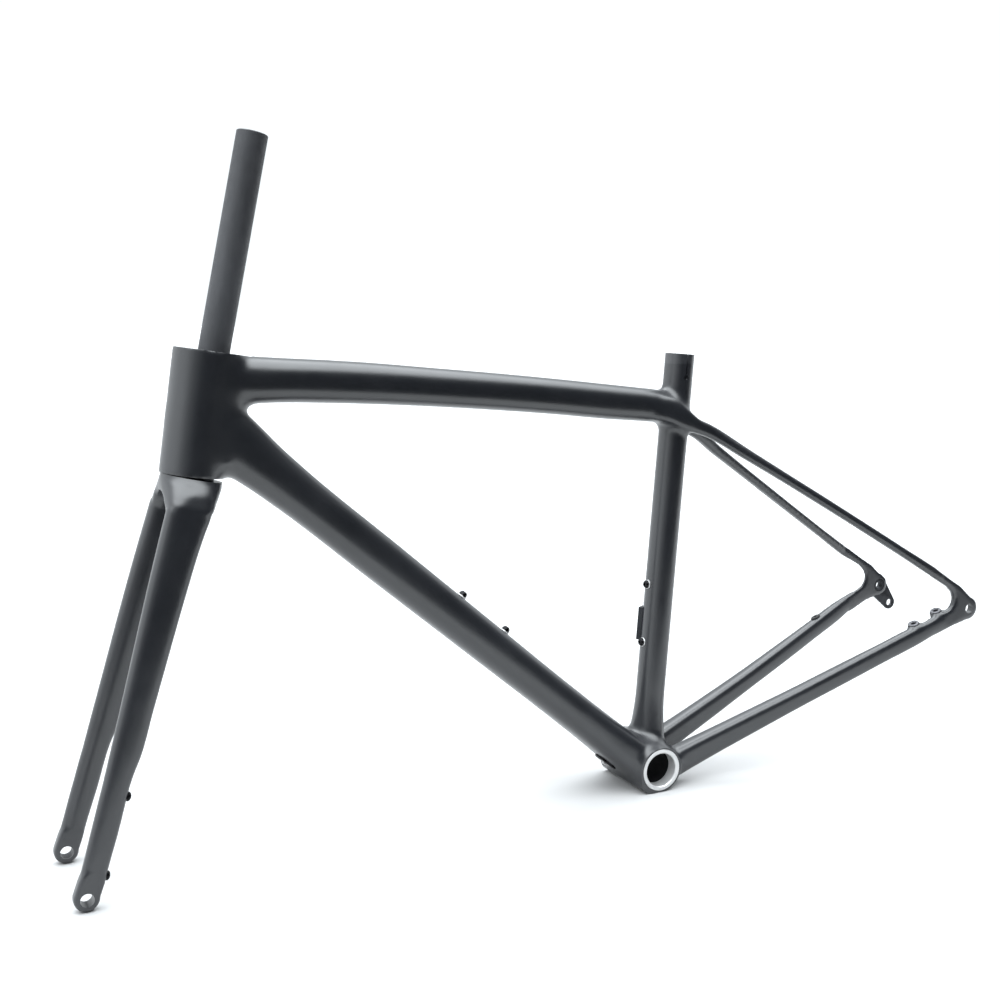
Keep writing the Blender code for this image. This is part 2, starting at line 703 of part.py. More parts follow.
def make_bottle_fittings(frame, down_tube, seat_tube, black, aluminium):
    run = Vector((cos(DOWN_SLOPE), 0, sin(DOWN_SLOPE)))
    normal = Vector((-sin(DOWN_SLOPE), 0, cos(DOWN_SLOPE)))
    middle = Vector((DOWN_BOTTLE_X, 0, DOWN_FOOT_Z + DOWN_BOTTLE_X * tan(DOWN_SLOPE)))
    for name, offset in (("down_upper", BOTTLE_SPACING / 2), ("down_lower", -BOTTLE_SPACING / 2)):
        at = middle + run * offset
        half = 20.75 + offset * 0.0084
        make_bottle_fitting(name, at + normal * half, normal, 4.8, frame, down_tube, black, aluminium)
    rise = Vector((-sin(SEAT_LEAN), 0, cos(SEAT_LEAN)))
    front = Vector((cos(SEAT_LEAN), 0, sin(SEAT_LEAN)))
    middle = Vector((seat_axis_x(SEAT_BOTTLE_Z), 0, SEAT_BOTTLE_Z))
    for name, offset in (("seat_upper", BOTTLE_SPACING / 2), ("seat_lower", -BOTTLE_SPACING / 2)):
        at = middle + rise * offset + front * SEAT_RADIUS * cos(pi / SIDES)
        make_bottle_fitting(name, at, front, 3.2, frame, seat_tube, black, aluminium)


def make_derailleur_mount(frame, seat_tube, aluminium, black):
    """Slotted front derailleur plate on the right front of the seat tube, held by two rivets."""
    rise = Vector((-sin(SEAT_LEAN), 0, cos(SEAT_LEAN)))
    heading = radians(-52)
    outward = Vector((cos(heading), sin(heading), 0))
    outward = (outward - outward.dot(rise) * rise).normalized()
    centre = Vector((seat_axis_x(MOUNT_Z), 0, MOUNT_Z))
    base = box("front_derailleur_mount", 9.0, 15.0, 36.0, frame, aluminium)
    tube = cutter(solid_path("cut_mount_seat", seat_stations(SEAT_RADIUS + GAP), frame))
    slot = cutter(box("cut_mount_slot", 20.0, 5.2, 15.0, frame))
    for made in (base, slot):
        made.rotation_mode = "QUATERNION"
        made.rotation_quaternion = axes(outward, rise)
        made.location = (centre + outward * MOUNT_REACH) * MM
    cut(base, tube, slot)
    for name, offset in (("upper", 12.8), ("lower", -12.8)):
        at = centre + rise * offset + outward * (MOUNT_REACH + 4.5 + GAP)
        hole = cutter(rod("cut_mount_rivet_" + name, 2.0, -14, 6, frame, at, outward, count=12))
        cut(base, hole)
        cut(seat_tube, hole)
        profile = [(0, -10.0), (1.7, -10.0), (1.7, 0), (3.4, 0), (2.9, 0.9), (0, 1.1)]
        turned("derailleur_rivet_" + name, profile, frame, black, at, outward, 12)


def make_brake_bosses(frame, chainstay, aluminium):
    """Flat-mount threaded bosses standing on the left chainstay, their tops in one plane."""
    up = Vector((sin(BOSS_SLOPE), 0, cos(BOSS_SLOPE)))
    along = Vector((-cos(BOSS_SLOPE), 0, sin(BOSS_SLOPE)))
    for name, offset, y in (("front", -0.5, 65.0), ("rear", 0.5, 67.0)):
        at = Vector((-347.2, y, 162.3)) + along * offset * FLAT_MOUNT_SPACING
        boss = washer("brake_boss_" + name, 3.1, 6.6, -BOSS_LENGTH, 0.0, frame, aluminium, at, up, SMALL_SIDES)
        seat = cutter(rod("cut_boss_" + name, 6.6 + GAP, -BOSS_LENGTH - GAP, 40, frame, at, up, count=SMALL_SIDES))
        for target in chainstay:
            cut(target, seat)


def make_port_cover(frame, down_tube, black, aluminium):
    """Oval cable port cover under the foot of the down tube, with its screw."""
    normal = Vector((sin(DOWN_SLOPE), 0, -cos(DOWN_SLOPE)))
    centre = Vector((PORT_X, 0, DOWN_FOOT_Z + PORT_X * tan(DOWN_SLOPE))) + normal * 19.8
    length, width = 13.5, 11.0
    levels = [(0.0, 0, 0, length, width, 2.6), (2.0, 0, 0, length, width, 2.6)]
    levels.append((3.0, 0, 0, length - 1.6, width - 1.6, 2.6))
    cover = level_path("cable_port_cover", levels, frame, black)
    cover.rotation_mode = "QUATERNION"
    turn = Vector((0, 0, 1)).rotation_difference(normal)
    cover.rotation_quaternion = turn
    cover.location = centre * MM
    pocket_levels = [(z, 0, 0, length - 3.0, width - 3.0, 2.6) for z in (-8.0, 8.0)]
    pocket = cutter(level_path("cut_port", pocket_levels, frame))
    recess_levels = [(z, 0, 0, length + GAP, width + GAP, 2.6) for z in (-GAP, 9.0)]
    recess = cutter(level_path("cut_port_recess", recess_levels, frame))
    for tool in (pocket, recess):
        tool.rotation_mode = "QUATERNION"
        tool.rotation_quaternion = turn
        tool.location = centre * MM
    cut(down_tube, recess, pocket)
    at = centre + normal * (3.0 + GAP)
    hole = cutter(rod("cut_cover_screw", 1.8, -9, 6, frame, at, normal, count=12))
    cut(cover, hole)
    profile = screw_profile(3.0, 1.4, 1.5, 7.5, 1.1, 0.8)
    turned("cover_screw", profile, frame, aluminium, at, normal, 12)


def make_grommet(frame, chainstay, rubber):
    """Rubber cable grommet in the top of the right chainstay."""
    point = bezier(*CHAINSTAY, 0.75)
    after = bezier(*CHAINSTAY, 0.80)
    run = (after - point).normalized()
    up = (Vector((0, 0, 1)) - run.z * run).normalized()
    seat = Vector((point.x, -point.y, point.z)) + up * 10.7
    levels = [(-5.0, 0, 0, 5.0, 2.9, 2.0), (GAP, 0, 0, 5.0, 2.9, 2.0)]
    levels += [(GAP + 0.001, 0, 0, 6.8, 4.4, 2.0), (1.5, 0, 0, 6.2, 3.8, 2.0)]
    grommet = level_path("chainstay_grommet", levels, frame, rubber, count=SMALL_SIDES)
    hole_levels = [(-8.0, 0, 0, 5.3, 3.2, 2.0), (8.0, 0, 0, 5.3, 3.2, 2.0)]
    hole = cutter(level_path("cut_grommet", hole_levels, frame, count=SMALL_SIDES))
    for made in (grommet, hole):
        made.rotation_mode = "QUATERNION"
        made.rotation_quaternion = Vector((0, 0, 1)).rotation_difference(up)
        made.location = seat * MM
    cable = cutter(rod("cut_grommet_cable", 1.6, -12, 12, frame, seat, up, count=12))
    cut(grommet, cable)
    cut(chainstay, hole)


# ---------------------------------------------------------------- bottom bracket
def bb_levels(grow=0.0):
    """Shell sections along Y: round faces, fuller between them, flat on the floor line."""
    rows = [(-43.25, 0.0), (-37.0, 0.2), (-22.0, 0.8), (0.0, 1.0), (22.0, 0.8), (37.0, 0.2), (43.25, 0.0)]
    return [(y, BB_SHELL_RADIUS + BB_BULGE * share + grow, BB_BULGE * share) for y, share in rows]


def bb_body(name, frame, look=None, grow=0.0, count=ROUND_SIDES, overhang=0.0):
    mesh = bmesh.new()
    rings = []
    rows = bb_levels(grow)
    for index, (y, radius, lift) in enumerate(rows):
        end = overhang if index == len(rows) - 1 else (-overhang if index == 0 else 0.0)
        points = []
        for step in range(count):
            angle = 2 * pi * step / count
            reach = radius
            if cos(angle) > 0 and sin(angle) < 0:
                reach += BB_CHIN * sin(2 * angle) ** 2
            height = max(BB_Z + lift + reach * sin(angle), -grow)
            points.append(Vector((reach * cos(angle), y + end, height)))
        rings.append(add_ring(mesh, points))
    for first, second in zip(rings, rings[1:]):
        bridge(mesh, first, second)
    mesh.faces.new(rings[0])
    mesh.faces.new(rings[-1])
    return finish(name, mesh, look, frame)


def make_bottom_bracket(frame, carbon, aluminium):
    shell = bb_body("bb_shell", frame, carbon)
    at = (0, 0, BB_Z)
    face = BB_WIDTH / 2
    seat = SLEEVE_RADIUS + GAP
    deep = face - SLEEVE_DEPTH - GAP
    middle = SHELL_BORE
    profile = [(0, -60), (seat, -60), (seat, -deep), (middle, -deep), (middle, deep), (seat, deep)]
    profile += [(seat, 60), (0, 60)]
    cut(shell, cutter(turned("cut_bb_bore", profile, frame, None, at, (0, 1, 0), ROUND_SIDES)))
    for side, name in ((1, "bb_sleeve_left"), (-1, "bb_sleeve_right")):
        inner = face - SLEEVE_DEPTH
        ring = [(SLEEVE_BORE, inner), (SLEEVE_RADIUS, inner), (SLEEVE_RADIUS, face)]
        ring += [(SLEEVE_BORE + 0.8, face), (SLEEVE_BORE, face - 0.8)]
        turned(name, ring, frame, aluminium, at, (0, side, 0), ROUND_SIDES)
    return shell


# ---------------------------------------------------------------- assembly
def clear_scene():
    for old in list(bpy.data.objects):
        bpy.data.objects.remove(old, do_unlink=True)


def main():
    clear_scene()
    carbon = material("satin_carbon", (0.030, 0.032, 0.037), 0.42, 0.0)
    raw_carbon = material("raw_carbon", (0.090, 0.092, 0.098), 0.52, 0.0)
    aluminium = material("machined_aluminium", (0.72, 0.72, 0.71), 0.34, 1.0)
    black_alloy = material("black_anodised", (0.035, 0.037, 0.040), 0.38, 1.0)
    black = material("black_screw", (0.012, 0.012, 0.013), 0.30, 1.0)
    steel = material("bearing_steel", (0.55, 0.55, 0.56), 0.25, 1.0)
    rubber = material("black_rubber", (0.015, 0.015, 0.015), 0.75, 0.0)

    frame = datum("frame_datum", (BB_X, 0, 0), 0.0)
    head = datum("head_datum", (HEAD_FOOT[0] + BB_X, 0, HEAD_FOOT[1]), HEAD_LEAN)
    crown_at = (CROWN_POINT[0] + BB_X, 0, CROWN_POINT[1])
    steering_fixed = datum("headset_datum", crown_at, STEER_LEAN)
    steering = datum("steering_axis", crown_at, STEER_LEAN)

    shell = make_bottom_bracket(frame, carbon, aluminium)
    head_tube = make_head_tube(head, steering_fixed, carbon)
    make_headset(steering_fixed, steering, steel, black_alloy)

    head_zone = cutter(level_path("cut_head_zone", head_levels(-GAP, -4.0, HEAD_LENGTH, 0.0), head, count=ROUND_SIDES))
    shell_zone = cutter(bb_body("cut_shell_zone", frame, grow=GAP, overhang=6.0))
    down_zone = cutter(solid_path("cut_down_zone", down_tube_stations(), frame, grow=GAP))
    top_zone = cutter(solid_path("cut_top_zone", top_tube_stations(), frame, grow=GAP))
    seat_zone = cutter(solid_path("cut_seat_zone", seat_stations(SEAT_RADIUS), frame, grow=GAP))

    top_tube = hollow_path("top_tube", top_tube_stations(), TUBE_WALL, frame, carbon)
    cut(top_tube, head_zone)
    down_tube = hollow_path("down_tube", down_tube_stations(), TUBE_WALL, frame, carbon)
    cut(down_tube, head_zone, shell_zone, top_zone)
    seat_tube = make_seat_tube(frame, carbon)
    cut(seat_tube, shell_zone)
    cut(seat_tube, down_zone, solver="MANIFOLD")
    make_seat_cluster(frame, carbon)

    chainstays = {}
    for side, name in ((1, "left"), (-1, "right")):
        stay = hollow_path("chainstay_" + name, chainstay_stations(side), STAY_WALL, frame, carbon, 16, True)
        cut(stay, shell_zone, seat_zone)
        chainstays[side] = stay
        hollow_path("seatstay_" + name, seatstay_stations(side), STAY_WALL, frame, carbon, 14, True)
    left_tip = make_rear_dropout(1, frame, carbon)
    make_rear_dropout(-1, frame, carbon)
    make_hanger(frame, black_alloy)

    make_crown(steering, carbon)
    make_steerer(steering, raw_carbon)
    blades = {}
    tips = {}
    for side in (1, -1):
        blades[side] = make_fork_blade(side, steering, carbon)
        tips[side] = make_fork_dropout(side, steering, carbon)
    at = (FRONT_AXLE[0], 0, FRONT_AXLE[1])
    inner = FRONT_HUB / 2 + INSERT_DEPTH + GAP
    outer = FRONT_HUB / 2 + FORK_TIP_WIDTH - GAP
    washer("axle_thread_insert", AXLE_HOLE, INSERT_RADIUS, inner, outer, steering, black_alloy, at, (0, -1, 0))
    make_caliper_screws(steering, blades[1], tips[1], black)

    make_bottle_fittings(frame, down_tube, seat_tube, black, aluminium)
    make_derailleur_mount(frame, seat_tube, black_alloy, black)
    make_brake_bosses(frame, (chainstays[1], left_tip), black_alloy)
    make_port_cover(frame, down_tube, black, aluminium)
    make_grommet(frame, chainstays[-1], rubber)


main()
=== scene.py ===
import json
from math import cos, degrees, hypot, pi, radians, sin, tan

import bmesh
import bpy
import numpy as np
from mathutils import Matrix, Vector
from mathutils.bvhtree import BVHTree

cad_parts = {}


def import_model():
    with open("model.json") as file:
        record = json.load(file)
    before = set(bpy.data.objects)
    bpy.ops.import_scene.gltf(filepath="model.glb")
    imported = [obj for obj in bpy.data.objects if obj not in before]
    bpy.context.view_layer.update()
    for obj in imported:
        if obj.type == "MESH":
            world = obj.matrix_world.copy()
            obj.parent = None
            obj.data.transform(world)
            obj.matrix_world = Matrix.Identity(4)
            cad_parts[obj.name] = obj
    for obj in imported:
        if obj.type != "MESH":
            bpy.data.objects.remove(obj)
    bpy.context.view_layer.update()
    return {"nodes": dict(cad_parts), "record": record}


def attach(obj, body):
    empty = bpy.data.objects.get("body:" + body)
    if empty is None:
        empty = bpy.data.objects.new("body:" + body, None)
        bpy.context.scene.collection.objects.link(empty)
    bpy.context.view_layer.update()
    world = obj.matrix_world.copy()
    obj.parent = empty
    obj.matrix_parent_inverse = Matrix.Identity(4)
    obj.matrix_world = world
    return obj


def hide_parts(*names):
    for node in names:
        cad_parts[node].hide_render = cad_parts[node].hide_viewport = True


# The looks of a bare carbon frameset. Lengths here are millimetres in the frame's own drawing
# coordinates: X forward and Z up from the floor below the bottom bracket, Y to the rider's left.
BB_X = -91.88
BB_Z = 24.5
STEER_LEAN = radians(11.97)
CROWN = (486.22, 365.89)
HEAD_LEAN = radians(8.5)
HEAD_FOOT = (486.9, 368.2)
HEAD_LENGTH = 113.1
SEAT_LEAN = radians(4.83)
SEAT_FOOT_X = -3.63
SEAT_TOP = 469.5
DOWN_FOOT_Z = 17.6
DOWN_SLOPE = radians(40.2)
FRONT_AXLE = (41.2, -371.1)
REAR_AXLE = (-404.5, 168.5)
HANGER_HOLE = (-427.2, 142.8)
BOSS_SLOPE = radians(21.5)
SEATSTAY = ((-59.4, 15.1, 392.9), (-216.3, 56.5, 298.4), (-378.7, 80.5, 197.6))
CHAINSTAY = ((-33.5, 24.8, 26.0), (-213.3, 48.0, 93.6), (-388.0, 78.3, 164.2))
SHELL_HALF = 43.25  # half the bottom bracket shell's length
SLEEVE_RADIUS = 22.9
SLEEVE_DEPTH = 14.0
AXLE_RADIUS = 6.15
STEERER_RADIUS = 14.3
SEATPOST_RADIUS = 13.6
BOTTLE_SPACING = 64.0
DOWN_BOTTLE_X = 206.2  # middle of the down tube's bottle screws
SEAT_BOTTLE_Z = 187.2  # middle of the seat tube's bottle screws
BOSS_MIDDLE = (-347.2, 162.3)
BOSS_SPACING = 34.0
# Distance below the crown, and the blade's rear edge there.
CALIPER_SCREWS = {"upper": (281.0, 20.6), "lower": (351.0, 27.5)}
PLATE_INNER = 71.0  # rear dropouts' inner faces, from the middle
PLATE_OUTER = {1: 79.6, -1: 75.6}  # left and right outer faces
UPPER_BEARING = (104.5, 112.0)
LOWER_BEARING = (3.3, 10.8)
CAMERA_PLACE = (764.665, 1180.237, 513.806)
CAMERA_TURN = (0.46453583, 0.14222463, -0.00066586)  # yaw, pitch and roll, in radians
CAMERA_LENS = 47.181

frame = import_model()
nodes = frame["nodes"]


# ---------------------------------------------------------------- places
def world(point):
    return Vector(((point[0] + BB_X) / 1000, point[1] / 1000, point[2] / 1000))


def datum(x, z, lean):
    """Matrix from a leaning datum, in millimetres, to the drawing's coordinates."""
    turn = Matrix.Rotation(-lean, 4, "Y")
    return Matrix.Translation((x, 0, z)) @ turn


DRAWING = Matrix.Identity(4)
STEERING = datum(*CROWN, STEER_LEAN)
HEAD = datum(*HEAD_FOOT, HEAD_LEAN)
SEAT = datum(SEAT_FOOT_X, 0, SEAT_LEAN)


def seat_x(height):
    return SEAT_FOOT_X - height * tan(SEAT_LEAN)


def blend(table, value):
    return float(np.interp(value, [row[0] for row in table], [row[1] for row in table]))


def bezier(points, t):
    a, b, c = (Vector(point) for point in points)
    return a * (1 - t) ** 2 + b * 2 * t * (1 - t) + c * t * t


def arc(centre, radius, start, end, count):
    angles = np.radians(np.linspace(start, end, count))
    return [(centre[0] + radius * cos(a), centre[1] + radius * sin(a)) for a in angles]


# ---------------------------------------------------------------- surfaces
def smooth_rows(rows, step):
    """Rows read along one smooth curve through all of them, about step apart, with no overshoot."""
    rows = np.array(rows, float)
    run = np.linalg.norm(np.diff(rows[:, :3], axis=0), axis=1)
    at = np.concatenate([[0], np.cumsum(run)])
    slope = np.diff(rows, axis=0) / run[:, None]
    tangent = np.zeros_like(rows)
    tangent[0], tangent[-1] = slope[0], slope[-1]
    for index in range(1, len(rows) - 1):
        before, after = slope[index - 1], slope[index]
        mean = (before * run[index] + after * run[index - 1]) / (run[index] + run[index - 1])
        tangent[index] = mean
        sizes = before[3:] * after[3:] <= 0
        tangent[index, 3:][sizes] = 0
    found = [rows[0]]
    for index, length in enumerate(run):
        count = max(1, round(length / step))
        for part in range(1, count + 1):
            u = part / count
            h = (2 * u**3 - 3 * u**2 + 1, u**3 - 2 * u**2 + u, -2 * u**3 + 3 * u**2, u**3 - u**2)
            found.append(
                h[0] * rows[index]
                + h[1] * length * tangent[index]
                + h[2] * rows[index + 1]
                + h[3] * length * tangent[index + 1]
            )
    return np.array(found)


def oval(count, power):
    angles = 2 * pi * np.arange(count) / count
    across, along = np.cos(angles), np.sin(angles)
    size = (np.abs(across) ** power + np.abs(along) ** power) ** (-1 / power)
    return across * size, along * size


def mesh_object(name, points, faces, place=DRAWING):
    data = bpy.data.meshes.new(name)
    placed = [world(place @ Vector(point)) for point in points]
    data.from_pydata(placed, [], faces)
    made = bpy.data.objects.new(name, data)
    bpy.context.scene.collection.objects.link(made)
    return made


def face_out(made):
    mesh = bmesh.new()
    mesh.from_mesh(made.data)
    bmesh.ops.recalc_face_normals(mesh, faces=mesh.faces)
    mesh.to_mesh(made.data)
    mesh.free()
    return made


def skin_of(rings):
    """Points and faces of a closed body through rings that hold the same number of points."""
    count = len(rings[0])
    faces = []
    for ring in range(len(rings) - 1):
        low, high = ring * count, (ring + 1) * count
        for index in range(count):
            after = (index + 1) % count
            faces.append((low + index, low + after, high + after, high + index))
    faces.append(tuple(range(count)))
    faces.append(tuple(range((len(rings) - 1) * count, len(rings) * count)))
    return [point for ring in rings for point in ring], faces


def tube(name, rows, step=3.5, count=56):
    """Loft along a path: a row is (x, y, z, half height, half width, squareness)."""
    rows = smooth_rows(rows, step)
    ahead = np.gradient(rows[:, :3], axis=0)
    rings = []
    for row, run in zip(rows, ahead):
        run = Vector(run).normalized()
        side = Vector((0, 1, 0))
        side = (side - side.dot(run) * run).normalized()
        up = side.cross(run)
        across, along = oval(count, row[5])
        centre = Vector(row[:3])
        rings.append([centre + side * a * row[4] + up * b * row[3] for a, b in zip(across, along)])
    return face_out(mesh_object(name, *skin_of(rings)))


def stack(name, rows, place, step=3.0, count=72):
    """Loft up a datum: a row is (x, y, height, half length, half width, squareness)."""
    rings = []
    for row in smooth_rows(rows, step):
        across, along = oval(count, row[5])
        rings.append([(row[0] + a * row[3], row[1] + b * row[4], row[2]) for a, b in zip(across, along)])
    return face_out(mesh_object(name, *skin_of(rings), place))


def turned(name, profile, place=DRAWING, at=(0, 0, 0), axis=(0, 0, 1), count=96, angle=30):
    """Body turned from a closed (radius, height) profile about an axis through a point."""
    turn = Vector((0, 0, 1)).rotation_difference(Vector(axis)).to_matrix().to_4x4()
    place = place @ Matrix.Translation(at) @ turn
    mesh = bmesh.new()
    rings = []
    for radius, height in profile:
        if radius == 0:
            rings.append([mesh.verts.new(world(place @ Vector((0, 0, height))))])
            continue
        ring = []
        for index in range(count):
            a = 2 * pi * index / count
            ring.append(mesh.verts.new(world(place @ Vector((radius * cos(a), radius * sin(a), height)))))
        rings.append(ring)
    for first, second in zip(rings, rings[1:] + rings[:1]):
        if len(first) == 1 and len(second) == 1:
            continue
        for index in range(count):
            after = (index + 1) % count
            corners = [first[index % len(first)], first[after % len(first)]]
            corners += [second[after % len(second)], second[index % len(second)]]
            mesh.faces.new(list(dict.fromkeys(corners)))
    bmesh.ops.recalc_face_normals(mesh, faces=mesh.faces)
    data = bpy.data.meshes.new(name)
    mesh.to_mesh(data)
    mesh.free()
    data.shade_smooth()
    data.set_sharp_from_angle(angle=radians(angle))
    made = bpy.data.objects.new(name, data)
    bpy.context.scene.collection.objects.link(made)
    return made


def rod(name, radius, low, high, place=DRAWING, at=(0, 0, 0), axis=(0, 0, 1), count=64):
    return turned(name, [(0, low), (radius, low), (radius, high), (0, high)], place, at, axis, count)


def plate(name, outline, near, far, edge, holes=(), place=DRAWING):
    """Plate in the XZ plane between two Y values, with rounded edges and round holes."""
    curve = bpy.data.curves.new(name, "CURVE")
    curve.dimensions = "2D"
    curve.fill_mode = "BOTH"
    for points in [outline] + [arc(centre, radius, 0, 360, 49)[:-1] for centre, radius in holes]:
        spline = curve.splines.new("POLY")
        spline.points.add(len(points) - 1)
        for point, (x, z) in zip(spline.points, points):
            point.co = (x, z, 0, 1)
        spline.use_cyclic_u = True
    thick = abs(far - near)
    curve.extrude = thick / 2 - edge
    curve.bevel_depth = edge
    curve.bevel_resolution = 3
    curve.offset = -edge
    holder = bpy.data.objects.new(name, curve)
    bpy.context.scene.collection.objects.link(holder)
    bpy.context.view_layer.update()
    data = bpy.data.meshes.new_from_object(holder)
    bpy.data.objects.remove(holder)
    middle = (near + far) / 2
    for vertex in data.vertices:
        x, z, y = vertex.co
        vertex.co = world(place @ Vector((x, y + middle, z)))
    data.name = name
    made = bpy.data.objects.new(name, data)
    bpy.context.scene.collection.objects.link(made)
    mesh = bmesh.new()
    mesh.from_mesh(data)
    bmesh.ops.remove_doubles(mesh, verts=mesh.verts, dist=1e-6)
    bmesh.ops.triangulate(mesh, faces=[face for face in mesh.faces if len(face.verts) > 4])
    bmesh.ops.recalc_face_normals(mesh, faces=mesh.faces)
    mesh.to_mesh(data)
    mesh.free()
    data.shade_smooth()
    data.set_sharp_from_angle(angle=radians(35))
    return made


def join(name, objects):
    """One mesh that holds copies of several objects' meshes."""
    mesh = bmesh.new()
    for each in objects:
        mesh.from_mesh(each.data)
    data = bpy.data.meshes.new(name)
    mesh.to_mesh(data)
    mesh.free()
    made = bpy.data.objects.new(name, data)
    bpy.context.scene.collection.objects.link(made)
    return made


def bake(made):
    """Replaces an object's mesh by what its modifiers make of it."""
    graph = bpy.context.evaluated_depsgraph_get()
    graph.update()
    data = bpy.data.meshes.new_from_object(made.evaluated_get(graph))
    made.modifiers.clear()
    made.data = data


def cut(made, tools):
    """Cuts all the tools, which may overlap one another, out of an object."""
    for tool in tools:
        step = made.modifiers.new(tool.name, "BOOLEAN")
        step.operation = "DIFFERENCE"
        step.solver = "MANIFOLD"
        step.object = tool
    bpy.context.view_layer.update()
    bake(made)
    for tool in tools:
        bpy.data.objects.remove(tool)


def relax(points, edges, weight, rounds):
    """Moves each point towards the mean of its neighbours."""
    count = len(points)
    first, second = edges[:, 0], edges[:, 1]
    degree = np.bincount(first, minlength=count) + np.bincount(second, minlength=count)
    share = (weight / np.maximum(degree, 1))[:, None]
    for _ in range(rounds):
        total = np.empty_like(points)
        for axis in range(3):
            total[:, axis] = np.bincount(first, points[second, axis], count)
            total[:, axis] += np.bincount(second, points[first, axis], count)
        points = points + share * total - (weight * (degree > 0))[:, None] * points
    return points


def ease_at(points, base, spots):
    """How strongly each point is eased: base, rising to a spot's own strength near its centre."""
    found = np.full(len(points), base)
    for centre, radius, strength in spots:
        far = np.linalg.norm(points - np.array(world(centre)), axis=1) * 1000 / radius
        share = np.clip(2 - 2 * far, 0, 1)
        found += (strength - base) * share * share * (3 - 2 * share)
    return found


def moulded(name, bodies, voxel, base, spots, rounds=240):
    """One skin over several bodies: on the outermost body's surface, with fillets where two meet."""
    skin = join(name, bodies)
    step = skin.modifiers.new("merge", "REMESH")
    step.mode = "VOXEL"
    step.voxel_size = voxel / 1000
    bake(skin)
    data = skin.data
    points = np.empty(len(data.vertices) * 3)
    data.vertices.foreach_get("co", points)
    points = points.reshape(-1, 3)
    edges = np.empty(len(data.edges) * 2, np.int64)
    data.edges.foreach_get("vertices", edges)
    edges = edges.reshape(-1, 2)
    trees = []
    for body in bodies:
        corners = [vertex.co.copy() for vertex in body.data.vertices]
        tree = BVHTree.FromPolygons(corners, [tuple(face.vertices) for face in body.data.polygons])
        trees.append((tree, np.min(corners, axis=0), np.max(corners, axis=0)))
        bpy.data.objects.remove(body)
    points = relax(points, edges, np.full(len(points), 0.5), 3)
    floor = points.copy()
    best = np.full(len(points), 3 / 1000)
    for tree, low, high in trees:
        close = ((points > low - 0.003) & (points < high + 0.003)).all(axis=1)
        for index in np.nonzero(close)[0]:
            place, _, _, far = tree.find_nearest(Vector(points[index]), best[index])
            if place is not None:
                best[index] = far
                floor[index] = place
    floor = relax(floor, edges, np.full(len(points), 0.3), 1)
    data.vertices.foreach_set("co", floor.reshape(-1))
    data.update()
    out = np.empty(len(data.vertices) * 3)
    data.vertices.foreach_get("normal", out)
    out = out.reshape(-1, 3)
    points = floor.copy()
    strength = ease_at(points, base, spots)
    for _ in range(rounds):
        points = relax(points, edges, strength, 1)
        rise = ((points - floor) * out).sum(axis=1)
        points -= np.minimum(rise, 0)[:, None] * out
    points = relax(points, edges, np.full(len(points), 0.3), 4)
    data.vertices.foreach_set("co", points.reshape(-1))
    data.update()
    return skin


def sharpen(made, angle=38):
    made.data.shade_smooth()
    made.data.set_sharp_from_angle(angle=radians(angle))


# ---------------------------------------------------------------- materials
class Nodes:
    """Short calls that add nodes to a material. Noise runs in metres on the piece itself."""

    def __init__(self, name):
        self.material = bpy.data.materials.new(name)
        self.material.use_nodes = True
        self.tree = self.material.node_tree
        self.shader = self.tree.nodes["Principled BSDF"]
        self.place = self.add("ShaderNodeTexCoord").outputs["Object"]

    def add(self, kind, **settings):
        made = self.tree.nodes.new(kind)
        for key, value in settings.items():
            setattr(made, key, value)
        return made

    def link(self, source, target):
        self.tree.links.new(source, target)

    def set(self, **values):
        for key, value in values.items():
            self.shader.inputs[key.replace("_", " ")].default_value = value

    def noise(self, scale, detail=3.0, rough=0.5, vector=None):
        made = self.add("ShaderNodeTexNoise")
        made.inputs["Scale"].default_value = scale
        made.inputs["Detail"].default_value = detail
        made.inputs["Roughness"].default_value = rough
        self.link(vector or self.place, made.inputs["Vector"])
        return made.outputs["Fac"]

    def stretch(self, scale, turn=(0, 0, 0)):
        made = self.add("ShaderNodeMapping")
        made.inputs["Scale"].default_value = scale
        made.inputs["Rotation"].default_value = turn
        self.link(self.place, made.inputs["Vector"])
        return made.outputs["Vector"]

    def spread(self, value, low, high, start=0.3, end=0.7):
        made = self.add("ShaderNodeMapRange")
        made.inputs["From Min"].default_value = start
        made.inputs["From Max"].default_value = end
        made.inputs["To Min"].default_value = low
        made.inputs["To Max"].default_value = high
        self.link(value, made.inputs["Value"])
        return made.outputs["Result"]

    def colours(self, value, low, high, start=0.3, end=0.7):
        made = self.add("ShaderNodeValToRGB")
        made.color_ramp.elements[0].position = start
        made.color_ramp.elements[0].color = (*low, 1)
        made.color_ramp.elements[1].position = end
        made.color_ramp.elements[1].color = (*high, 1)
        self.link(value, made.inputs["Fac"])
        return made.outputs["Color"]

    def bump(self, value, strength, distance):
        made = self.add("ShaderNodeBump")
        made.inputs["Strength"].default_value = strength
        made.inputs["Distance"].default_value = distance
        self.link(value, made.inputs["Height"])
        return made.outputs["Normal"]


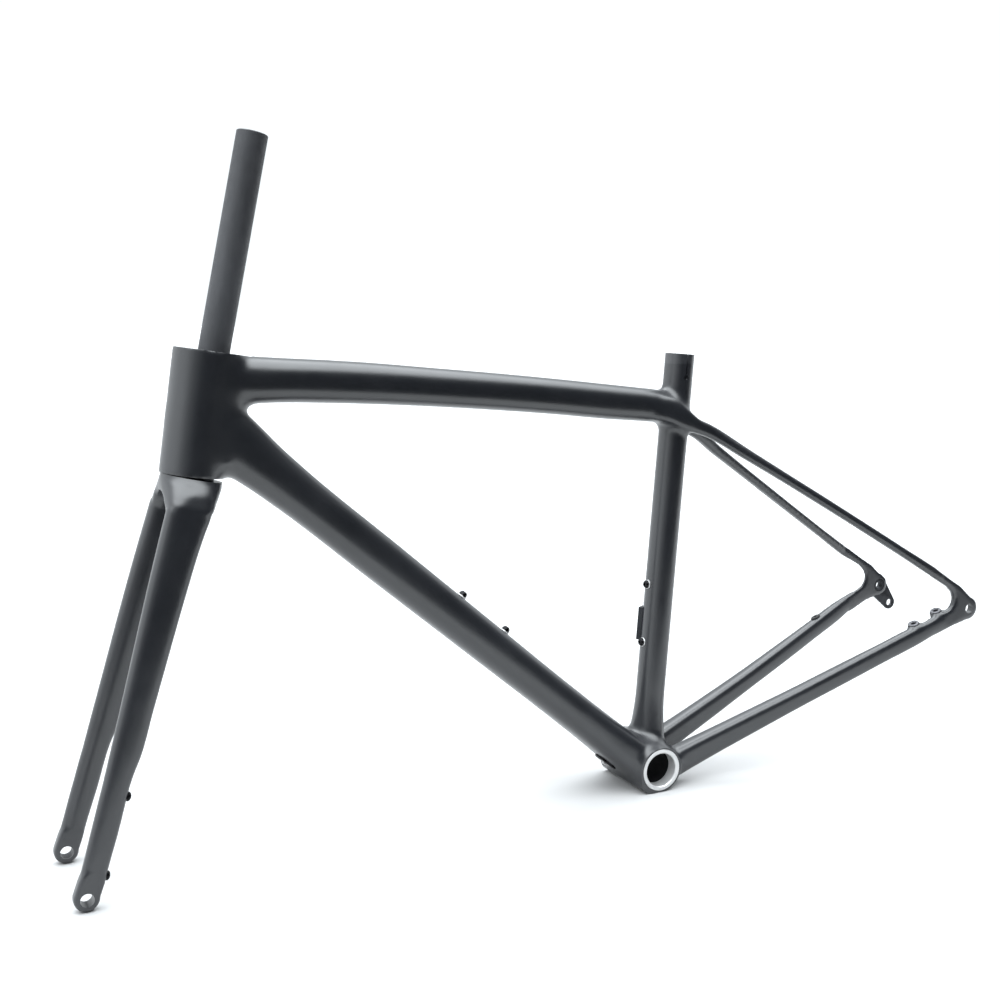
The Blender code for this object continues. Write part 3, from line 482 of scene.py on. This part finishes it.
def satin_carbon():
    """Satin clear coat over carbon. The top of the seat tube, under the clamp, is left uncoated."""
    m = Nodes("satin_carbon")
    m.set(Metallic=0.0, IOR=1.5, Specular_IOR_Level=0.9)
    cloud = m.colours(m.noise(14, 4), (0.0095, 0.0108, 0.0138), (0.0140, 0.0155, 0.0192))
    axes = m.add("ShaderNodeSeparateXYZ")
    m.link(m.place, axes.inputs["Vector"])
    clamp = m.add("ShaderNodeMath", operation="MULTIPLY")
    m.link(m.spread(axes.outputs["Z"], 0.0, 1.0, 0.4592, 0.4598), clamp.inputs[0])
    m.link(m.spread(axes.outputs["X"], 1.0, 0.0, 0.0, 0.1), clamp.inputs[1])
    bare = m.add("ShaderNodeMix", data_type="RGBA")
    m.link(clamp.outputs["Value"], bare.inputs["Factor"])
    m.link(cloud, bare.inputs[6])
    m.link(m.colours(m.noise(200, 3), (0.026, 0.027, 0.031), (0.040, 0.042, 0.047)), bare.inputs[7])
    m.link(bare.outputs[2], m.shader.inputs["Base Color"])
    m.link(m.spread(m.noise(38, 5), 0.28, 0.34), m.shader.inputs["Roughness"])
    grain = m.noise(2600, 2)
    m.link(m.bump(grain, 0.10, 0.0001), m.shader.inputs["Normal"])
    return m.material


def raw_carbon():
    m = Nodes("raw_carbon")
    m.set(Metallic=0.0, IOR=1.5)
    plies = m.noise(30, 5, 0.6, m.stretch((1, 1, 0.22), (0, STEER_LEAN, 0)))
    m.link(m.colours(plies, (0.026, 0.027, 0.031), (0.056, 0.058, 0.064)), m.shader.inputs["Base Color"])
    m.link(m.spread(m.noise(120, 4), 0.46, 0.62), m.shader.inputs["Roughness"])
    fibres = m.noise(900, 2, 0.5, m.stretch((1, 1, 0.05), (0, STEER_LEAN, 0)))
    m.link(m.bump(fibres, 0.16, 0.0001), m.shader.inputs["Normal"])
    return m.material


def painted_shade_inside():
    """Inside of the bottom bracket shell, darker and duller than the coat outside: painted shade in the
    bore.
    """
    m = Nodes("painted_shade_inside")
    m.set(Metallic=0.0, IOR=1.5, Specular_IOR_Level=0.12)
    # Near-black colour and weak reflection stand in for the shade inside the bore: painted shade.
    cloud = m.colours(m.noise(50, 4), (0.005, 0.005, 0.006), (0.010, 0.010, 0.011))
    m.link(cloud, m.shader.inputs["Base Color"])
    m.link(m.spread(m.noise(120, 4), 0.72, 0.86), m.shader.inputs["Roughness"])
    m.link(m.bump(m.noise(900, 2), 0.2, 0.0001), m.shader.inputs["Normal"])
    return m.material


def metal(name, low, high, rough, spacing=5200, metallic=1.0):
    """Turned or anodised metal: fine tool marks, small colour and gloss changes."""
    m = Nodes(name)
    m.set(Metallic=metallic)
    m.link(m.colours(m.noise(60, 4), low, high), m.shader.inputs["Base Color"])
    m.link(m.spread(m.noise(160, 4), rough - 0.05, rough + 0.07), m.shader.inputs["Roughness"])
    m.link(m.bump(m.noise(spacing, 2), 0.12, 0.00006), m.shader.inputs["Normal"])
    return m.material


def rubber():
    m = Nodes("black_rubber")
    m.set(IOR=1.5)
    cloud = m.colours(m.noise(90, 4), (0.012, 0.012, 0.012), (0.022, 0.022, 0.022))
    m.link(cloud, m.shader.inputs["Base Color"])
    m.link(m.spread(m.noise(400, 3), 0.68, 0.82), m.shader.inputs["Roughness"])
    m.link(m.bump(m.noise(3000, 2), 0.2, 0.0001), m.shader.inputs["Normal"])
    return m.material


BARE_METAL = metal("machined_aluminium", (0.60, 0.60, 0.60), (0.70, 0.70, 0.70), 0.36, metallic=0.5)
LOOKS = {
    "satin_carbon": satin_carbon(),
    "raw_carbon": raw_carbon(),
    "machined_aluminium": BARE_METAL,
    "black_anodised": metal("black_anodised", (0.030, 0.031, 0.034), (0.050, 0.052, 0.056), 0.40),
    "black_screw": metal("black_screw", (0.014, 0.014, 0.015), (0.026, 0.026, 0.028), 0.26),
    "bearing_steel": metal("bearing_steel", (0.52, 0.52, 0.53), (0.66, 0.66, 0.67), 0.22),
    "black_rubber": rubber(),
}


def dress(made, slot, body, *replaced):
    made.data.materials.clear()
    made.data.materials.append(LOOKS[slot])
    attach(made, body)
    if replaced:
        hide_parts(*replaced)
    return made


def dress_cad():
    """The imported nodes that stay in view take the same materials."""
    for part in frame["record"]["subparts"]:
        data = nodes[part["node"]].data
        data.materials.clear()
        data.materials.append(LOOKS[part["material_slot"]])


# ---------------------------------------------------------------- main frame
def seat_rows(radius):
    """Seat tube, which spreads at its foot over the bottom bracket shell."""
    flare = [(20, 5.5), (28, 5.5), (38, 4.0), (52, 2.8), (75, 0.8), (100, 0.0)]
    spread = [(20, 14.0), (28, 14.0), (38, 10.0), (52, 6.0), (75, 1.8), (100, 0.0)]
    rows = []
    for height in (24, 38, 52, 75, 100, 200, 300, 400, SEAT_TOP + 4):
        along, across = radius + blend(flare, height), radius + blend(spread, height)
        rows.append((seat_x(height), 0, height, along, across, 2.0))
    return rows


def down_rows():
    heights = [(0, 21.0), (25, 20.6), (60, 20.0), (100, 19.9), (200, 20.7), (300, 21.6)]
    heights += [(385, 22.3), (408, 23.0), (425, 25.0), (445, 28.0), (470, 30.5)]
    widths = [(0, 42.6), (25, 39.5), (60, 32.6), (100, 28.0), (200, 24.0), (300, 22.0)]
    widths += [(400, 21.6), (440, 23.0), (470, 25.5)]
    squareness = [(0, 4.2), (25, 3.6), (60, 2.8), (100, 2.4), (200, 2.3)]
    rows = []
    for x in (2, 25, 60, 100, 200, 300, 395, 420, 440, 462):
        z = DOWN_FOOT_Z + x * tan(DOWN_SLOPE)
        rows.append((x, 0, z, blend(heights, x), blend(widths, x), blend(squareness, x)))
    return rows


def top_rows():
    """Top tube, carried on round the seat tube."""
    rows = [(-36, 409.5, 13.0, 17.0, 2.3), (-24, 412.6, 16.6, 18.8, 2.3)]
    rows += [(-8, 415.2, 17.4, 18.6, 2.4), (8, 416.9, 17.6, 18.0, 2.4)]
    rows += [(44, 420.6, 18.1, 18.1, 2.4), (115, 428.6, 18.2, 18.4, 2.4)]
    rows += [(184, 435.5, 18.5, 19.0, 2.4), (250, 441.4, 18.9, 19.6, 2.4)]
    rows += [(312, 446.5, 19.7, 20.5, 2.4), (362, 449.7, 20.2, 21.2, 2.4)]
    rows += [(400, 451.6, 20.6, 22.0, 2.4), (430, 452.6, 21.8, 22.6, 2.4)]
    rows += [(447, 453.1, 23.1, 23.8, 2.4), (460, 453.4, 24.4, 24.0, 2.4)]
    rows.append((468, 453.6, 21.0, 20.0, 2.2))
    return [(x, 0, z, tall, wide, square) for x, z, tall, wide, square in rows]


def seatstay_rows(side):
    """Shoulder beside the seat tube, then the stay, as far as the dropout."""
    rows = [(2.0, 8.0, 415.6, 14.0, 9.0), (-8.0, 10.5, 414.0, 14.2, 8.4)]
    rows += [(-23.0, 15.2, 410.2, 13.6, 7.4), (-34.0, 17.8, 403.4, 11.4, 6.4)]
    rows += [(-44.0, 18.4, 397.6, 9.6, 5.8), (-52.0, 17.8, 393.6, 8.2, 5.9)]
    heights = [(0.0, 7.6), (0.12, 6.2), (0.3, 5.3), (0.6, 5.0), (0.8, 5.0), (0.9, 5.6), (0.945, 4.4)]
    widths = [(0.0, 6.2), (0.12, 6.4), (0.5, 6.6), (0.8, 5.7), (0.9, 4.3), (0.945, 2.4)]
    for t in (0.03, 0.175, 0.32, 0.465, 0.61, 0.755, 0.90, 0.945):
        rows.append((*bezier(SEATSTAY, t), blend(heights, t), blend(widths, t)))
    return [(x, side * y, z, tall, wide, 2.5) for x, y, z, tall, wide in rows]


def chainstay_rows(side):
    heights = [(-0.06, 16.0), (0.05, 14.3), (0.2, 12.8), (0.4, 11.2)]
    heights += [(0.6, 10.9), (0.86, 10.3), (0.94, 8.2)]
    widths = [(-0.06, 13.0), (0.05, 10.5), (0.2, 9.6), (0.5, 8.4), (0.86, 6.0), (0.94, 3.2)]
    rows = []
    for t in (-0.06, 0.09, 0.25, 0.4, 0.55, 0.71, 0.86, 0.94):
        x, y, z = bezier(CHAINSTAY, t)
        rows.append((x, side * y, z, blend(heights, t), blend(widths, t), 3.4))
    return rows


def end_corners(curve, t, tall):
    """Upper and lower corner of a stay's end, seen from the side."""
    centre = bezier(curve, t)
    run = bezier(curve, t + 0.01) - centre
    run.y = 0
    run.normalize()
    up = Vector((-run.z, 0, run.x))
    if up.z < 0:
        up = -up
    return [(centre.x + up.x * tall * end, centre.z + up.z * tall * end) for end in (1, -1)]


def dropout_outline():
    seat_top, seat_low = end_corners(SEATSTAY, 0.90, 5.6)
    chain_top, chain_low = end_corners(CHAINSTAY, 0.86, 10.2)
    outline = [seat_top, (-376.2, 204.8), (-390.7, 196.2)]
    outline += arc(REAR_AXLE, 13.3, 104, 275, 24)
    outline += [(-382.6, 150.2), chain_low, chain_top]
    outline += [(-352.0, 160.2), (-366.0, 165.6), (-376.4, 170.2), (-380.8, 176.2), (-381.6, 183.0)]
    outline += [(-378.6, 190.0), (-371.0, 197.0), seat_low]
    return outline


def rear_plate(side):
    """Dropout that leans inwards along its foot, to meet the chainstay."""
    edge = 2.4 if side > 0 else 2.0
    made = plate(f"plate_{side}", dropout_outline(), side * PLATE_INNER, side * PLATE_OUTER[side], edge)
    mesh = bmesh.new()
    mesh.from_mesh(made.data)
    for x in np.arange(-350, -396, -4):
        everything = mesh.verts[:] + mesh.edges[:] + mesh.faces[:]
        bmesh.ops.bisect_plane(mesh, geom=everything, plane_co=world((x, 0, 0)), plane_no=(1, 0, 0))
    for vertex in mesh.verts:
        x, z = vertex.co.x * 1000 - BB_X, vertex.co.z * 1000
        reach = min(max((x + 394) / 46, 0), 1)
        low = min(max((200 - z) / 45, 0), 1)
        vertex.co.y -= side * 0.004 * low * reach * reach * (3 - 2 * reach)
    mesh.to_mesh(made.data)
    mesh.free()
    return made


def head_rows(low, high):
    growth = [(0.0, 0.0), (60.0, 0.0), (85.0, 1.2), (100.0, 2.8), (HEAD_LENGTH, 3.5)]
    rows = []
    for height in (low, 30, 60, 85, 100, high):
        shift = blend(growth, height)
        rows.append((-shift, 0, height, 28.5 + shift, 28.5, 2.0))
    return rows


def shell_body():
    """Barrel round the bottom bracket, flat where it stands on the floor."""
    count = 96
    rings = []
    for y in np.linspace(-46.0, 46.0, 47):
        share = max(0.0, 1 - (y / SHELL_HALF) ** 2)
        lift = 2.5 * share
        ring = []
        for index in range(count):
            a = 2 * pi * index / count
            reach = 24.5 + lift
            if cos(a) > 0 and sin(a) < 0:
                reach += 4.6 * sin(2 * a) ** 2
            ring.append((reach * cos(a), y, max(BB_Z + lift + reach * sin(a), 0.0)))
        rings.append(ring)
    return face_out(mesh_object("shell", *skin_of(rings)))


def boss_places():
    """Name, seat and direction of each rear brake boss."""
    up = Vector((sin(BOSS_SLOPE), 0, cos(BOSS_SLOPE)))
    along = Vector((-cos(BOSS_SLOPE), 0, sin(BOSS_SLOPE)))
    for name, end, y in (("front", -0.5, 65.0), ("rear", 0.5, 67.0)):
        yield name, Vector((BOSS_MIDDLE[0], y, BOSS_MIDDLE[1])) + along * BOSS_SPACING * end, up


def make_frame_skin():
    bodies = [stack("head", head_rows(-2.0, HEAD_LENGTH + 1.5), HEAD), shell_body()]
    bodies.append(tube("seat", seat_rows(15.7)))
    bodies.append(tube("down", down_rows()))
    bodies.append(tube("top", top_rows()))
    web = [(486, 0, 418, 30, 22, 2.4), (460, 0, 420, 28, 22.5, 2.4), (449, 0, 422, 20, 21, 2.3)]
    web.append((441.5, 0, 424, 9, 15, 2.0))
    bodies.append(tube("web", web, 2.0))
    heel = [(488, 0, 388, 14, 24, 2.4), (466, 0, 384, 15, 24, 2.4), (452, 0, 381, 13, 21, 2.2)]
    heel.append((444, 0, 379, 8, 15, 2.0))
    bodies.append(tube("heel", heel, 2.0))
    bridge = [(-59 + 0.001 * y, y, 392.6, 6.4, 5.5, 2.2) for y in (-16, 0, 16)]
    bodies.append(tube("bridge", bridge, 2.0))
    for side in (1, -1):
        bodies.append(tube(f"seatstay_{side}", seatstay_rows(side), 3.0, 44))
        bodies.append(tube(f"chainstay_{side}", chainstay_rows(side), 3.0, 56))
        bodies.append(rear_plate(side))
    for name, at, up in boss_places():
        bodies.append(rod("boss_" + name, 7.4, -16, -1.2, at=at, axis=up))
    spots = [((478, 0, 425), 130, 0.9), ((0, 0, 45), 110, 0.25), ((-25, 0, 412), 80, 0.2)]
    spots += [((-385, side * 75, 180), 90, 0.14) for side in (1, -1)]
    skin = moulded("frame_skin", bodies, 1.9, 0.05, spots)
    tools = [rod("trim_head_top", 45, HEAD_LENGTH, HEAD_LENGTH + 12, HEAD)]
    tools.append(rod("trim_head_foot", 34, -12, 0, HEAD))
    seats = [(0, -12), (23.8, -12), (23.8, 11.1), (18.6, 11.1)]
    seats += [(18.6, 104.2), (21.2, 104.2), (21.2, 130), (0, 130)]
    tools.append(turned("bore_head", seats, STEERING))
    tools.append(rod("trim_seat", 22, SEAT_TOP / cos(SEAT_LEAN), SEAT_TOP + 20, SEAT))
    tools.append(rod("bore_seat", SEATPOST_RADIUS, 60, 500, SEAT))
    middle = Vector((0, 0, BB_Z))
    tools.append(rod("trim_shell_left", 34, SHELL_HALF, 60, at=middle, axis=(0, 1, 0)))
    tools.append(rod("trim_shell_right", 34, SHELL_HALF, 60, at=middle, axis=(0, -1, 0)))
    bore = [(0, -60), (23.1, -60), (23.1, -29), (19.2, -29), (19.2, 29), (23.1, 29), (23.1, 60), (0, 60)]
    tools.append(turned("bore_shell", bore, at=middle, axis=(0, 1, 0)))
    axle = (REAR_AXLE[0], 0, REAR_AXLE[1])
    tools.append(rod("hole_left", AXLE_RADIUS, 60, 90, at=axle, axis=(0, 1, 0)))
    tools.append(rod("hole_right", 8.2, 60, 90, at=axle, axis=(0, -1, 0)))
    for name, at, up in boss_places():
        tools.append(rod("hole_" + name, 6.7, -12, 20, at=at, axis=up))
    tools.append(seat_slot())
    cut(skin, tools)
    sharpen(skin)
    replaced = ["head_tube", "top_tube", "down_tube", "seat_tube", "seat_cluster", "bb_shell"]
    for side in ("left", "right"):
        replaced += ["seatstay_" + side, "chainstay_" + side, "rear_dropout_" + side]
    dress(skin, "satin_carbon", "frame", *replaced)
    # Faces inside the shell's bore take the darker material, as painted shade.
    skin.data.materials.append(painted_shade_inside())
    for face in skin.data.polygons:
        x, y, z = face.center * 1000
        if abs(y) < SHELL_HALF - 1.25 and hypot(x - BB_X, z - BB_Z) < SLEEVE_RADIUS + 0.4:
            face.material_index = 1


def prism(name, outline, near, far, place=DRAWING):
    """Sharp-edged solid in the XZ plane between two Y values."""
    rings = [[(x, y, z) for x, z in outline] for y in (near, far)]
    return face_out(mesh_object(name, *skin_of(rings), place))


def seat_slot():
    """Clamp slit down the left and right of the seat tube, ending in a round hole."""
    foot = (SEAT_TOP - 25) / cos(SEAT_LEAN)
    outline = arc((0, foot), 2.2, -243, 63, 25) + [(1.0, foot + 40), (-1.0, foot + 40)]
    return prism("seat_slot", outline, -30, 30, SEAT)


# ---------------------------------------------------------------- fork
def blade_rows(side):
    """A row here is (distance below the crown, front edge, rear edge, middle, half width)."""
    rows = [
        (18.0, 20.0, -10.0, 31.0, 6.5),
        (30.0, 25.4, -14.6, 33.2, 10.2),
        (44.0, 26.6, -11.8, 34.5, 10.1),
        (60.0, 28.0, -8.9, 36.0, 10.0),
        (96.0, 31.0, -3.7, 39.4, 9.5),
        (132.0, 33.6, 1.0, 42.6, 9.0),
        (168.0, 36.0, 5.4, 45.6, 8.5),
        (204.0, 38.4, 9.7, 48.3, 8.0),
        (246.0, 41.4, 14.5, 51.2, 7.6),
        (262.0, 42.5, 18.2, 52.2, 7.5),
        (274.0, 43.4, 20.0, 53.0, 7.3),
        (306.0, 46.1, 22.6, 54.8, 7.1),
        (340.0, 48.7, 26.4, 56.6, 6.9),
        (352.0, 49.6, 27.6, 56.9, 6.9),
        (362.0, 49.6, 29.0, 56.9, 6.8),
        (372.0, 47.5, 32.5, 56.9, 6.4),
    ]
    found = []
    for down, front, rear, y, half in rows:
        square = blend([(30, 2.8), (96, 2.5)], down)
        found.append(((front + rear) / 2, side * y, -down, (front - rear) / 2, half, square))
    return found


def make_fork_skin():
    crown_rows = [
        (0.0, 0, 3.0, 28.0, 28.0, 2.0),
        (0.0, 0, -1.0, 28.0, 28.0, 2.0),
        (0.4, 0, -6.0, 27.7, 33.6, 2.15),
        (1.3, 0, -12.0, 26.2, 38.4, 2.5),
        (2.8, 0, -19.0, 24.2, 41.2, 3.3),
        (4.2, 0, -28.0, 21.2, 43.2, 5.0),
        (6.3, 0, -38.0, 18.0, 42.0, 4.2),
        (8.5, 0, -52.0, 13.0, 40.0, 3.0),
    ]
    crown = stack("crown", crown_rows, STEERING, 2.0)
    cut(crown, [rod("arch", 30.0, -60, 60, STEERING, (0, 0, -45.5), (1, 0, 0))])
    bodies = [crown]
    lowest = 270 - degrees(STEER_LEAN)
    tip = [(44.0, -343), (31.0, -343), (27.8, -350), (28.4, -358)]
    tip += arc(FRONT_AXLE, 11.4, lowest - 90, lowest + 105, 30)
    tip += [(50.8, -358), (49.2, -350)]
    for side in (1, -1):
        bodies.append(stack(f"blade_{side}", blade_rows(side), STEERING, 3.0, 56))
        bodies.append(plate(f"tip_{side}", tip, side * 50.0, side * 63.8, 3.4, place=STEERING))
    spots = [((486, 0, 345), 62, 0.65)]
    spots += [(STEERING @ Vector((41, side * 57, -352)), 45, 0.35) for side in (1, -1)]
    skin = moulded("fork_skin", bodies, 1.5, 0.1, spots)
    tools = [rod("trim_crown", 40, 0, 12, STEERING)]
    tools.append(rod("socket", 16.7, -14, 10, STEERING))
    axle = (FRONT_AXLE[0], 0, FRONT_AXLE[1])
    tools.append(rod("hole_left", AXLE_RADIUS, 40, 80, STEERING, axle, (0, 1, 0)))
    tools.append(rod("hole_right", AXLE_RADIUS, 40, 80, STEERING, axle, (0, -1, 0)))
    tools.append(rod("insert_seat", 8.2, 52, 80, STEERING, axle, (0, -1, 0)))
    cut(skin, tools)
    sharpen(skin)
    replaced = ["fork_crown"]
    for side in ("left", "right"):
        replaced += ["fork_blade_" + side, "fork_dropout_" + side]
    dress(skin, "satin_carbon", "fork", *replaced)


def make_steerer():
    profile = [(11.7, -12), (16.6, -12), (16.6, 13), (15.9, 24), (15.1, 34)]
    profile += [(STEERER_RADIUS, 44), (STEERER_RADIUS, 313.4), (13.7, 314), (12.1, 314), (11.7, 313.6)]
    made = turned("steerer_outer", profile, STEERING)
    dress(made, "raw_carbon", "fork", "steerer_tube")


# ---------------------------------------------------------------- small pieces
def make_sleeves():
    middle = (0, 0, BB_Z)
    for side, name in ((1, "left"), (-1, "right")):
        profile = [(18.2, SHELL_HALF - SLEEVE_DEPTH), (SLEEVE_RADIUS, SHELL_HALF - SLEEVE_DEPTH)]
        profile += [(SLEEVE_RADIUS, SHELL_HALF - 0.3), (SLEEVE_RADIUS - 0.3, SHELL_HALF)]
        profile += [(19.2, SHELL_HALF), (18.2, SHELL_HALF - 1.0)]
        made = turned("sleeve_" + name, profile, at=middle, axis=(0, side, 0), count=128)
        dress(made, "machined_aluminium", "frame", "bb_sleeve_" + name)


def screw(name, head, tall, socket, place, at, axis, body, replaced):
    """Button-head screw with a six-sided socket."""
    profile = [(0, -2.0), (head * 0.55, -2.0), (head * 0.55, 0), (head * 0.94, 0), (head, tall * 0.08)]
    for step in range(7):
        a = radians(12 + step * 11)
        profile.append((head * (0.42 + 0.58 * cos(a)), tall * (0.1 + 0.9 * sin(a))))
    profile += [(socket * 1.25, tall), (0, tall)]
    made = turned(name, profile, place, at, axis, 48, 25)
    cut(made, [rod("socket", socket, tall - 1.7, tall + 3, place, at, axis, 6)])
    sharpen(made, 25)
    dress(made, "black_screw", body, replaced)


def make_bottle_fittings():
    run = Vector((cos(DOWN_SLOPE), 0, sin(DOWN_SLOPE)))
    normal = Vector((-sin(DOWN_SLOPE), 0, cos(DOWN_SLOPE)))
    middle = Vector((DOWN_BOTTLE_X, 0, DOWN_FOOT_Z + DOWN_BOTTLE_X * tan(DOWN_SLOPE)))
    rise = Vector((-sin(SEAT_LEAN), 0, cos(SEAT_LEAN)))
    front = Vector((cos(SEAT_LEAN), 0, sin(SEAT_LEAN)))
    seat_middle = Vector((seat_x(SEAT_BOTTLE_Z), 0, SEAT_BOTTLE_Z))
    ends = (("upper", BOTTLE_SPACING / 2), ("lower", -BOTTLE_SPACING / 2))
    places = []
    for end, offset in ends:
        at = middle + run * offset + normal * (20.75 + offset * 0.0084)
        places.append(("down_" + end, at, normal, 4.8))
    for end, offset in ends:
        places.append(("seat_" + end, seat_middle + rise * offset + front * 15.5, front, 3.2))
    for name, at, out, tall in places:
        ring = [(2.8, -4), (3.4, -4), (3.4, -0.4), (4.9, -0.4), (5.0, 0.4), (4.7, 1.1), (2.8, 1.1)]
        insert = turned("insert_" + name, ring, at=at, axis=out, count=64)
        dress(insert, "machined_aluminium", "frame", "bottle_insert_" + name)
        seat = at + out * 1.2
        screw("screw_" + name, 4.4, tall, 1.9, DRAWING, seat, out, "frame", "bottle_screw_" + name)


def make_caliper_screws():
    axis = Vector((-1.0, 0.0, -0.075)).normalized()
    for name, (down, edge) in CALIPER_SCREWS.items():
        seat = (edge - 0.3, blend([(246, 51.2), (340, 56.6)], down), -down)
        screw("caliper_" + name, 4.4, 2.8, 1.9, STEERING, seat, axis, "fork", "caliper_screw_" + name)


def make_bosses():
    grey = metal("grey_anodised", (0.10, 0.10, 0.11), (0.16, 0.16, 0.17), 0.42, 5200, 0.6)
    for name, at, up in boss_places():
        profile = [(3.1, -12), (6.3, -12), (6.3, -0.6), (5.8, -0.1), (5.3, 0.0), (4.6, 0.0), (4.4, -0.3)]
        profile += [(3.7, -0.3), (3.1, -0.9)]
        boss = turned("boss_pad_" + name, profile, at=at, axis=up, count=64)
        dress(boss, "black_anodised", "frame", "brake_boss_" + name)
        boss.data.materials[0] = grey


def make_hanger():
    outline = arc(REAR_AXLE, 14.3, -62, 155, 30) + arc(HANGER_HOLE, 8.6, 160, 325, 24)
    made = plate("hanger", outline, -75.95, -79.6, 0.7, [(REAR_AXLE, 5.2), (HANGER_HOLE, 4.2)])
    axle = (REAR_AXLE[0], 0, REAR_AXLE[1])
    nose = [(5.6, 71.2), (7.6, 71.2), (8.0, 71.6), (8.0, 80.1), (7.6, 80.5), (5.6, 80.5)]
    for turn in range(6):
        low = 80.1 - turn * 1.5
        nose += [(5.2, low), (5.2, low - 0.4), (5.9, low - 0.9), (5.2, low - 1.4)]
    dress(turned("hanger_nose", nose, at=axle, axis=(0, -1, 0)), "black_anodised", "frame")
    dress(made, "black_anodised", "frame", "derailleur_hanger")


def make_upper_bearing():
    """Bearing with its seal, and the split ring that centres the steerer in it."""
    low, top = UPPER_BEARING
    outer = [(19.0, low), (20.9, low), (20.9, top - 0.6), (20.3, top), (19.0, top)]
    dress(turned("upper_outer", outer, STEERING), "bearing_steel", "frame", "upper_bearing_outer")
    inner = [(15.1, low), (17.2, low), (17.2, top), (15.9, top), (15.1, top - 0.9)]
    dress(turned("upper_inner", inner, STEERING), "bearing_steel", "fork", "upper_bearing_inner")
    seal = [(17.3, top - 1.4), (18.9, top - 1.4), (18.9, top - 0.5), (18.1, top - 0.8), (17.3, top - 0.5)]
    dress(turned("upper_seal", seal, STEERING), "black_rubber", "frame")
    ring = [(14.5, top - 2.0), (15.0, top - 1.2), (16.9, top + 0.3)]
    ring += [(16.9, top + 1.3), (14.8, top + 3.0), (14.5, top + 3.0)]
    dress(turned("split_ring", ring, STEERING), "black_anodised", "fork", "compression_ring")


def make_lower_bearing():
    """Bearing on the crown race."""
    low, top = LOWER_BEARING
    outer = [(20.9, low), (23.5, low), (23.5, top), (20.9, top)]
    dress(turned("lower_outer", outer, STEERING), "bearing_steel", "frame", "lower_bearing_outer")
    inner = [(17.1, low), (19.3, low), (19.3, top), (17.1, top)]
    dress(turned("lower_inner", inner, STEERING), "bearing_steel", "fork", "lower_bearing_inner")
    race = [(17.1, 0.3), (20.2, 0.3), (20.2, 2.4), (19.4, 3.0), (17.1, 3.0)]
    dress(turned("race", race, STEERING), "black_anodised", "fork", "crown_race")


# ---------------------------------------------------------------- studio
def make_camera():
    data = bpy.data.cameras.new("camera")
    data.sensor_width = 36
    data.lens = CAMERA_LENS
    data.clip_end = 50
    made = bpy.data.objects.new("camera", data)
    bpy.context.scene.collection.objects.link(made)
    yaw, pitch, roll = CAMERA_TURN
    ahead = Vector((-sin(yaw) * cos(pitch), -cos(yaw) * cos(pitch), -sin(pitch)))
    right = ahead.cross(Vector((0, 0, 1))).normalized()
    up = right.cross(ahead)
    across = right * cos(roll) + up * sin(roll)
    above = up * cos(roll) - right * sin(roll)
    turn = Matrix((across, above, -ahead)).transposed().to_4x4()
    made.matrix_world = Matrix.Translation(world(CAMERA_PLACE)) @ turn
    bpy.context.scene.camera = made


def make_floor():
    ground = bpy.data.meshes.new("floor")
    ground.from_pydata([(-60, -60, 0), (60, -60, 0), (60, 0.6, 0), (-60, 0.6, 0)], [], [(0, 1, 2, 3)])
    floor = bpy.data.objects.new("floor", ground)
    bpy.context.scene.collection.objects.link(floor)
    floor.location.z = -0.0004
    m = Nodes("floor_paint")
    m.set(Roughness=0.9, Specular_IOR_Level=0.0)
    paint = m.colours(m.noise(1.5, 2), (0.50, 0.50, 0.50), (0.52, 0.52, 0.52))
    m.link(paint, m.shader.inputs["Base Color"])
    ground.materials.append(m.material)


def make_room():
    """White room with a broad light overhead; only the wall behind the camera is dark."""
    room = bpy.data.worlds.new("room")
    bpy.context.scene.world = room
    room.use_nodes = True
    tree = room.node_tree

    def add(kind, **settings):
        made = tree.nodes.new(kind)
        for key, value in settings.items():
            setattr(made, key, value)
        return made

    def part(direction, start, end):
        """How far the view points along a direction, as a soft step."""
        lean = add("ShaderNodeVectorMath", operation="DOT_PRODUCT")
        lean.inputs[1].default_value = direction
        tree.links.new(place, lean.inputs[0])
        ramp = add("ShaderNodeMapRange", interpolation_type="SMOOTHSTEP")
        ramp.inputs["From Min"].default_value = start
        ramp.inputs["From Max"].default_value = end
        tree.links.new(lean.outputs["Value"], ramp.inputs["Value"])
        return ramp.outputs["Result"]

    def sums(operation, first, second):
        made = add("ShaderNodeMath", operation=operation)
        for socket, value in zip(made.inputs, (first, second)):
            if isinstance(value, float):
                socket.default_value = value
            else:
                tree.links.new(value, socket)
        return made.outputs["Value"]

    place = add("ShaderNodeTexCoord").outputs["Generated"]
    dark_wall = part((-0.25, 0.97, 0.0), -0.10, 0.50)
    high = part((0.0, 0.0, 1.0), 0.57, 0.84)
    side = part((1.0, -0.1, 0.0), 0.10, 0.90)
    front = sums("SUBTRACT", 1.0, sums("MULTIPLY", dark_wall, 0.97))
    walls = sums("ADD", front, sums("MULTIPLY", side, 0.7))
    below = sums("MULTIPLY", walls, sums("SUBTRACT", 1.0, high))
    strength = sums("ADD", below, sums("MULTIPLY", high, 5.4))
    rays = add("ShaderNodeLightPath")
    pick = add("ShaderNodeMix")
    tree.links.new(rays.outputs["Is Camera Ray"], pick.inputs["Factor"])
    tree.links.new(strength, pick.inputs["A"])
    pick.inputs["B"].default_value = 1.1
    tree.links.new(pick.outputs["Result"], tree.nodes["Background"].inputs["Strength"])
    tree.nodes["Background"].inputs["Color"].default_value = (0.925, 0.97, 1, 1)
    bpy.context.scene.view_settings.view_transform = "Standard"


make_camera()
make_floor()
make_room()
dress_cad()
make_frame_skin()
make_fork_skin()
make_steerer()
make_sleeves()
make_bottle_fittings()
make_caliper_screws()
make_bosses()
make_hanger()
make_upper_bearing()
make_lower_bearing()
